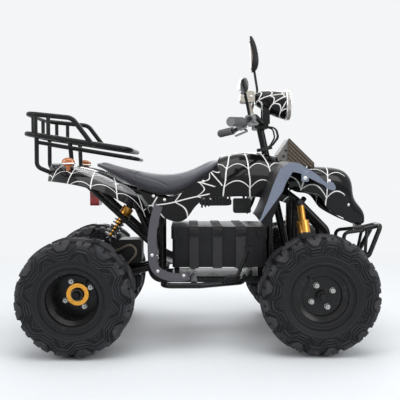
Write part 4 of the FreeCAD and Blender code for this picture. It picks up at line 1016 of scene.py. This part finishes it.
class QUAD_OT_stage(bpy.types.Operator):
    """Lay the floor, hang the soft lights and set the camera."""

    bl_idname = "quad.stage"
    bl_label = "Studio"

    def execute(self, context):
        scene = context.scene
        scene.view_settings.view_transform = "Standard"
        aim_camera(scene, scene.quad_stage.lens)
        lay_floor(scene, tuple(scene.quad_stage.floor))
        light_sky(scene)
        hang_lamps(scene)
        return {"FINISHED"}


class QUAD_OT_tyres(bpy.types.Operator):
    """Make the four knobbly tyres over the frame's own."""

    bl_idname = "quad.tyres"
    bl_label = "Tyres"

    def execute(self, context):
        settings = context.scene.quad_tyres
        material = tyre_rubber("tyre_rubber", tuple(settings.colour), (0.070, 0.066, 0.066))
        for name in SIDES:
            for end in WHEELS:
                tyre_piece(end, name, settings, material)
        return {"FINISHED"}


class QUAD_OT_wheels(bpy.types.Operator):
    """Paint the rims and fit nuts, rim steps, axle caps and valves."""

    bl_idname = "quad.wheels"
    bl_label = "Wheels"

    def execute(self, context):
        rim = worn_metal("rim_gloss", (0.007, 0.007, 0.0075), (0.10, 0.10, 0.10), 0.22, 0.0, amount=0.25)
        steel = worn_metal("axle_steel", (0.16, 0.155, 0.15), (0.05, 0.035, 0.025), 0.30, 1.0)
        zinc = worn_metal("zinc_plate", (0.44, 0.44, 0.43), (0.24, 0.20, 0.14), 0.22, 1.0)
        gold = tuple(context.scene.quad_paint.gold)
        stem = rubber("valve_rubber", (0.012, 0.012, 0.012), (0.05, 0.05, 0.05))
        dress(rim, "front_rim_left", "front_rim_right", "rear_rim_left", "rear_rim_right")
        dress(steel, "rear_axle")
        dress(worn_metal("gold_anodised", gold, (0.45, 0.22, 0.05), 0.24, 0.85), "hub_rings")
        for name, side in SIDES.items():
            for end, wheel in WHEELS.items():
                make_piece("%s_nuts_%s" % (end, name), wheel_nuts(wheel, side), wheel_body(end, name),
                           zinc)
            make_piece("front_rim_step_" + name, [rim_step(WHEELS["front"], side)], "front_wheel_" + name,
                       rim)
            for end, wheel in WHEELS.items():
                body = "rear_wheels" if end == "rear" else "knuckle_" + name
                make_piece("%s_axle_cap_%s" % (end, name), axle_cap(wheel, side), body, rim)
            for end, wheel in WHEELS.items():
                make_piece("%s_valve_%s" % (end, name), [valve(wheel, side)], wheel_body(end, name),
                           stem)
        return {"FINISHED"}


class QUAD_OT_saddle(bpy.types.Operator):
    """Make the padded saddle."""

    bl_idname = "quad.saddle"
    bl_label = "Saddle"

    def execute(self, context):
        # The paler colour is mostly painted sheen on the saddle's crown, partly the creases' tone.
        material = vinyl("saddle_vinyl", (0.045, 0.045, 0.058), (0.190, 0.192, 0.232))
        saddle_piece(context.scene.quad_saddle, material)
        return {"FINISHED"}


class QUAD_OT_panels(bpy.types.Operator):
    """Paint the body panels with webs, and the trims, guards and lamps."""

    bl_idname = "quad.panels"
    bl_label = "Body panels"

    def execute(self, context):
        paint = context.scene.quad_paint
        base, line = tuple(paint.body), paint.line
        dress(web_paint("tank_webs", base, hub=(0.150, 1.150), spokes=38, turn=0.3, pitch=0.100, sag=0.036,
                        width=line), "tank_cover")
        dress(web_paint("side_webs", base, hub=(0.075, 0.500), spokes=11, turn=0.2, pitch=0.092, sag=0.032,
                        width=line), "side_panels")
        # The tail's grey band is painted reflection along its upward-facing slope.
        dress(web_paint("tail_webs", base, hub=(-0.450, 1.020), spokes=40, turn=0.1, pitch=0.085, sag=0.030,
                        width=line * 0.8, painted_reflection_band=(0.462, 0.490, 0.46, (0.22, 0.22, 0.225))), "tail_fender")
        dress(web_paint("nose_webs", base, hub=(0.520, 1.080), spokes=32, turn=0.2, pitch=0.090, sag=0.034,
                        width=line * 0.9, limits=(0.0, 0.580)), "nose_cowl")
        dress(web_paint("pod_webs", base, hub=(0.372, 1.010), spokes=15, turn=0.1, pitch=0.048, sag=0.014,
                        width=line * 0.85), "headlight_pod")
        dress(moulded("fender_plastic", BLACK, 0.30), "front_fenders")
        dress(arch_trim("trim_satin", tuple(paint.trim), BLACK, low=(0.1885, 0, 0.5110),
                        high=(0.2610, 0, 0.6120), limit=0.290), "fender_trims")
        dress(worn_metal("bracket_silver", (0.13, 0.125, 0.12), (0.05, 0.04, 0.03), 0.42, 0.3),
              "scoop_bracket")
        dress(ribbed("scoop_ribs", (0.014, 0.012, 0.010), (0.10, 0.065, 0.035), 0.012), "air_scoop")
        dress(moulded("guard_plastic", (0.060, 0.058, 0.068), 0.34, fade=2.0), "heel_guards")
        dress(lens("nose_lens", (0.42, 0.40, 0.38), (0.05, 0.05, 0.05)), "nose_lamps")
        dress(lens("headlight_glass", (0.62, 0.60, 0.56), (0.22, 0.21, 0.20)), "headlight_lens")
        dress(lens("tail_lens", (0.62, 0.015, 0.012), (0.16, 0.004, 0.004), 0.15), "tail_light")
        dress(lens("indicator_lens", (0.80, 0.27, 0.03), (0.30, 0.07, 0.01), 0.1), "rear_indicators")
        return {"FINISHED"}


class QUAD_OT_running_gear(bpy.types.Operator):
    """Finish the tubes, suspension, motor, chain and battery box."""

    bl_idname = "quad.running_gear"
    bl_label = "Frame and running gear"

    def execute(self, context):
        paint = context.scene.quad_paint
        tube = worn_metal("tube_black", tuple(paint.frame), (0.09, 0.085, 0.08), 0.24, 0.0, amount=0.3)
        dress(tube, "frame_cradle", "rear_subframe", "front_frame", "steering_bushes", "front_bumper",
              "rack_deck", "rack_guard", "rack_legs", "swing_arm", "suspension_arms", "footrests",
              "brake_pedal", "steering_column", "handlebar", "knuckle_left", "knuckle_right",
              "tie_rod_left", "tie_rod_right")
        rear_shock = ((-0.434, 0, 0.404), (-0.330, 0, 0.560), 0.66, 1.1)
        front_shock = ((0.410, 0.196, 0.318), (0.382, 0.128, 0.574), 0.47, 0.70)
        shocks, gold = (rear_shock, front_shock), tuple(paint.gold)
        dress(shock_paint("damper_paint", BLACK, gold, shocks, collars=False), "dampers")
        dress(shock_paint("spring_paint", BLACK, gold, shocks, collars=True), "coil_springs")
        dress(worn_metal("motor_paint", (0.010, 0.010, 0.010), (0.08, 0.08, 0.08), 0.38, 0.0), "drive_motor",
              "horn_box")
        dress(worn_metal("chain_steel", (0.20, 0.17, 0.13), (0.05, 0.03, 0.02), 0.34, 1.0), "drive_chain")
        dress(moulded("case_plastic", (0.0085, 0.0085, 0.0095), 0.36, fade=2.0), "battery_case",
              "battery_lid")
        dress(webbing("strap_weave", (0.008, 0.008, 0.009), (0.035, 0.035, 0.038)), "battery_straps")
        dress(rubber("grip_rubber", (0.16, 0.16, 0.165), (0.30, 0.30, 0.31)), "grips")
        dress(worn_metal("lever_alloy", (0.20, 0.205, 0.205), (0.1, 0.1, 0.1), 0.3, 0.9), "brake_levers")
        dress(moulded("display_shell", (0.36, 0.33, 0.28), 0.32), "display")
        dress(moulded("mirror_shell", (0.008, 0.008, 0.008), 0.22), "mirrors")
        dress(rubber("cable_sheath", (0.010, 0.010, 0.010), (0.03, 0.03, 0.03)), "control_cables")
        return {"FINISHED"}


class QUAD_OT_panel_bolts(bpy.types.Operator):
    """Sink round-headed bolts into the panels, wherever a look from the side meets them."""

    bl_idname = "quad.panel_bolts"
    bl_label = "Panel bolts"

    def execute(self, context):
        bolts = []
        for nodes, spots in (
            (("nose_cowl",), ((0.509, 0.662), (0.400, 0.690), (0.600, 0.560))),
            (("side_panels",), ((-0.020, 0.660), (-0.180, 0.585))),
            (("side_panels", "tail_fender"), ((-0.226, 0.600),)),
            (("heel_guards",), ((-0.222, 0.380), (-0.200, 0.318), (-0.100, 0.300))),
        ):
            for x, z in spots:
                for side in SIDES.values():
                    found = [touch(node, (x, side * FAR_OUT, z), (0, -side, 0)) for node in nodes]
                    found = [(place, out) for place, out in found if place is not None and abs(out[1]) > 0.3]
                    if found:
                        place, out = max(found, key=lambda hit: hit[0][1] * side)
                        bolts.append(dome(place - out * 0.0006, out, radius=0.0050, height=0.0036))
        make_piece("panel_bolts", bolts, "chassis", small_finish("zinc_bolts"))
        return {"FINISHED"}


class QUAD_OT_brackets(bpy.types.Operator):
    """Mark the holes of the scoop's bracket with thin dark discs of painted shade, and bolt a tab to each
    arch trim.
    """

    bl_idname = "quad.brackets"
    bl_label = "Brackets and tabs"

    def execute(self, context):
        # Thin black discs stand in for the bracket's holes: their dark is painted shade, not openings.
        holes = []
        for side in SIDES.values():
            for x, z, radius in ((0.3120, 0.742, 0.007), (0.3225, 0.766, 0.006), (0.3315, 0.790, 0.005)):
                disc = [(0, 0), (radius, 0), (radius, 0.0005), (0, 0.0005)]
                holes.append(turned(disc, (x, side * 0.0661, z), (0, side, 0), 28))
        make_piece("bracket_holes", holes, "chassis", small_finish("small_black"))

        tab_x = 0.355
        tabs, pins = [], []
        for side in SIDES.values():
            place, _ = touch("fender_trims", (tab_x, side * FAR_OUT, 0.702), (0, -side, 0))
            level = place[1] - side * 0.003
            axis = (0, side, 0)
            tabs.append(slab((tab_x, level, 0.684), axis, across=0.028, along=0.044, height=0.0035))
            pins.append(dome((tab_x, level + side * 0.0033, 0.676), axis, radius=0.0060, height=0.0040))
        make_piece("arch_tabs", tabs, "chassis", bpy.data.materials["trim_satin"])
        make_piece("arch_tab_bolts", pins, "chassis", small_finish("zinc_bolts"))
        return {"FINISHED"}


class QUAD_OT_vents(bpy.types.Operator):
    """Set nine upright ribs on a plate into the foot of each side panel."""

    bl_idname = "quad.vents"
    bl_label = "Side vents"

    def execute(self, context):
        vents = []
        for side in SIDES.values():
            for share in np.linspace(0, 1, 9):
                foot = side * (0.150 + 0.006 * share)
                tip = np.array((-0.036 + 0.118 * share, foot, 0.556 + 0.022 * share))
                crest = np.array((-0.016 + 0.108 * share, side * 0.146, 0.592 + 0.006 * share))
                length = np.linalg.norm(crest - tip) + 0.004
                vents.append(slab((tip + crest) / 2, (0, side, 0), across=0.0085, along=length, height=0.007,
                                  corner=0.5, steps=8))
            vents.append(slab((0.0320, side * 0.1440, 0.5755), (0, side, 0), across=0.128, along=0.030,
                              height=0.006, corner=0.4))
        make_piece("side_vents", vents, "chassis", small_finish("small_black"))
        return {"FINISHED"}


class QUAD_OT_buckles(bpy.types.Operator):
    """Lay a buckle with its bar on each battery strap."""

    bl_idname = "quad.buckles"
    bl_label = "Strap buckles"

    def execute(self, context):
        buckles = []
        for x in (-0.0588, 0.0377, 0.1342):
            for side in SIDES.values():
                for level, across, along, height in (
                    (0.1578, 0.046, 0.026, 0.0045),
                    (0.1620, 0.034, 0.010, 0.0030),
                ):
                    buckles.append(slab((x, side * level, 0.450), (0, side, 0), across, along, height))
        make_piece("strap_buckles", buckles, "chassis", small_finish("small_black"))
        return {"FINISHED"}


class QUAD_OT_ribs(bpy.types.Operator):
    """Ring the handlebar grips and the footrests' pegs with ribs."""

    bl_idname = "quad.ribs"
    bl_label = "Grip and peg ribs"

    def execute(self, context):
        material = small_finish("rib_rubber")
        for name, side in SIDES.items():
            inner, outer = np.array((0.140, side * 0.236, 0.897)), np.array((0.078, side * 0.355, 0.888))
            along = (outer - inner) / np.linalg.norm(outer - inner)
            rings = [hoop(outer + along * (0.001 - 0.0072 * index), along, wide=0.0172, tall=0.0172,
                          thick=0.0014, around=40, section=8) for index in range(16)]
            make_piece("grip_ribs_" + name, rings, "steering", material)
        pegs = [hoop((-0.060, side * (0.190 + 0.009 * index), 0.264), (0, 1, 0), wide=0.0122, tall=0.0122,
                     thick=0.0014, around=36, section=8) for side in SIDES.values() for index in range(14)]
        make_piece("peg_ribs", pegs, "chassis", material)
        return {"FINISHED"}


class QUAD_OT_mirrors(bpy.types.Operator):
    """Fit the mirror glasses with the bars round their edges."""

    bl_idname = "quad.mirrors"
    bl_label = "Mirror glasses"

    def execute(self, context):
        left, left_rim = mirror_glass(False)
        right, right_rim = mirror_glass(True)
        for name, parts, finish in (
            ("mirror_glasses", [left, right], "mirror_silver"),
            ("mirror_rim_left", [left_rim], "small_black"),
            ("mirror_rim_right", [right_rim], "chrome"),
        ):
            make_piece(name, parts, "steering", small_finish(finish))
        return {"FINISHED"}


class QUAD_OT_bezels(bpy.types.Operator):
    """Ring the headlight and the rear indicators with bright bezels."""

    bl_idname = "quad.bezels"
    bl_label = "Lamp bezels"

    def execute(self, context):
        chrome = small_finish("chrome")
        low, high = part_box("headlight_lens")
        centre = (low[2] + high[2]) / 2
        reach = (high[2] - low[2]) / 2
        inner = reach - 0.0030
        rings = [hoop((low[0] + 0.0035, 0, centre), (1, 0, 0), reach, reach,
                      thick=0.0026, around=96, section=12),
                 hoop((high[0] - 0.0060, 0, centre), (1, 0, 0), inner, inner,
                      thick=0.0024, around=96, section=10)]
        make_piece("headlight_bezel", rings, "steering", chrome)
        bezels = [hoop((-0.560, side * 0.215, 0.7325), (0, 0, 1), wide=0.0140, tall=0.0260, thick=0.0034,
                       around=48, section=10) for side in SIDES.values()]
        make_piece("indicator_bezels", bezels, "chassis", chrome)
        return {"FINISHED"}


class QUAD_OT_display(bpy.types.Operator):
    """Fit the display's screen and the screws of its case."""

    bl_idname = "quad.display"
    bl_label = "Display"

    def execute(self, context):
        level = 1.021
        screen = slab((0.1422, 0, level), (-1, 0, 0), across=0.066, along=0.022, height=0.0012)
        make_piece("display_screen", [screen], "steering", small_finish("display_screen"))
        screws = [dome((x, side * 0.0448, level), (0, side, 0), radius=0.0046, height=0.0030)
                  for x in (0.157, 0.186) for side in SIDES.values()]
        make_piece("display_screws", screws, "steering", small_finish("zinc_bolts"))
        return {"FINISHED"}


SETTINGS = {"quad_paint": PaintSettings, "quad_tyres": TyreSettings, "quad_saddle": SaddleSettings,
            "quad_stage": StageSettings}
OPERATORS = (QUAD_OT_stage, QUAD_OT_tyres, QUAD_OT_wheels, QUAD_OT_saddle, QUAD_OT_panels,
             QUAD_OT_running_gear, QUAD_OT_panel_bolts, QUAD_OT_brackets, QUAD_OT_vents, QUAD_OT_buckles,
             QUAD_OT_ribs, QUAD_OT_mirrors, QUAD_OT_bezels, QUAD_OT_display)


class QUAD_PT_finishes(bpy.types.Panel):
    """The settings, and a button for each step."""

    bl_label = "Quad bike"
    bl_idname = "QUAD_PT_finishes"
    bl_space_type = "VIEW_3D"
    bl_region_type = "UI"
    bl_category = "Quad bike"

    def draw(self, context):
        for name, group in SETTINGS.items():
            for key in group.__annotations__:
                self.layout.prop(getattr(context.scene, name), key)
        for operator in OPERATORS:
            self.layout.operator(operator.bl_idname)


CLASSES = tuple(SETTINGS.values()) + OPERATORS + (QUAD_PT_finishes,)


def register():
    for each in CLASSES:
        bpy.utils.register_class(each)
    for name, group in SETTINGS.items():
        setattr(bpy.types.Scene, name, PointerProperty(type=group))


def unregister():
    for name in SETTINGS:
        delattr(bpy.types.Scene, name)
    for each in reversed(CLASSES):
        bpy.utils.unregister_class(each)


def main():
    register()
    for operator in OPERATORS:
        group, name = operator.bl_idname.split(".")
        getattr(getattr(bpy.ops, group), name)()


if __name__ == "__main__":
    main()
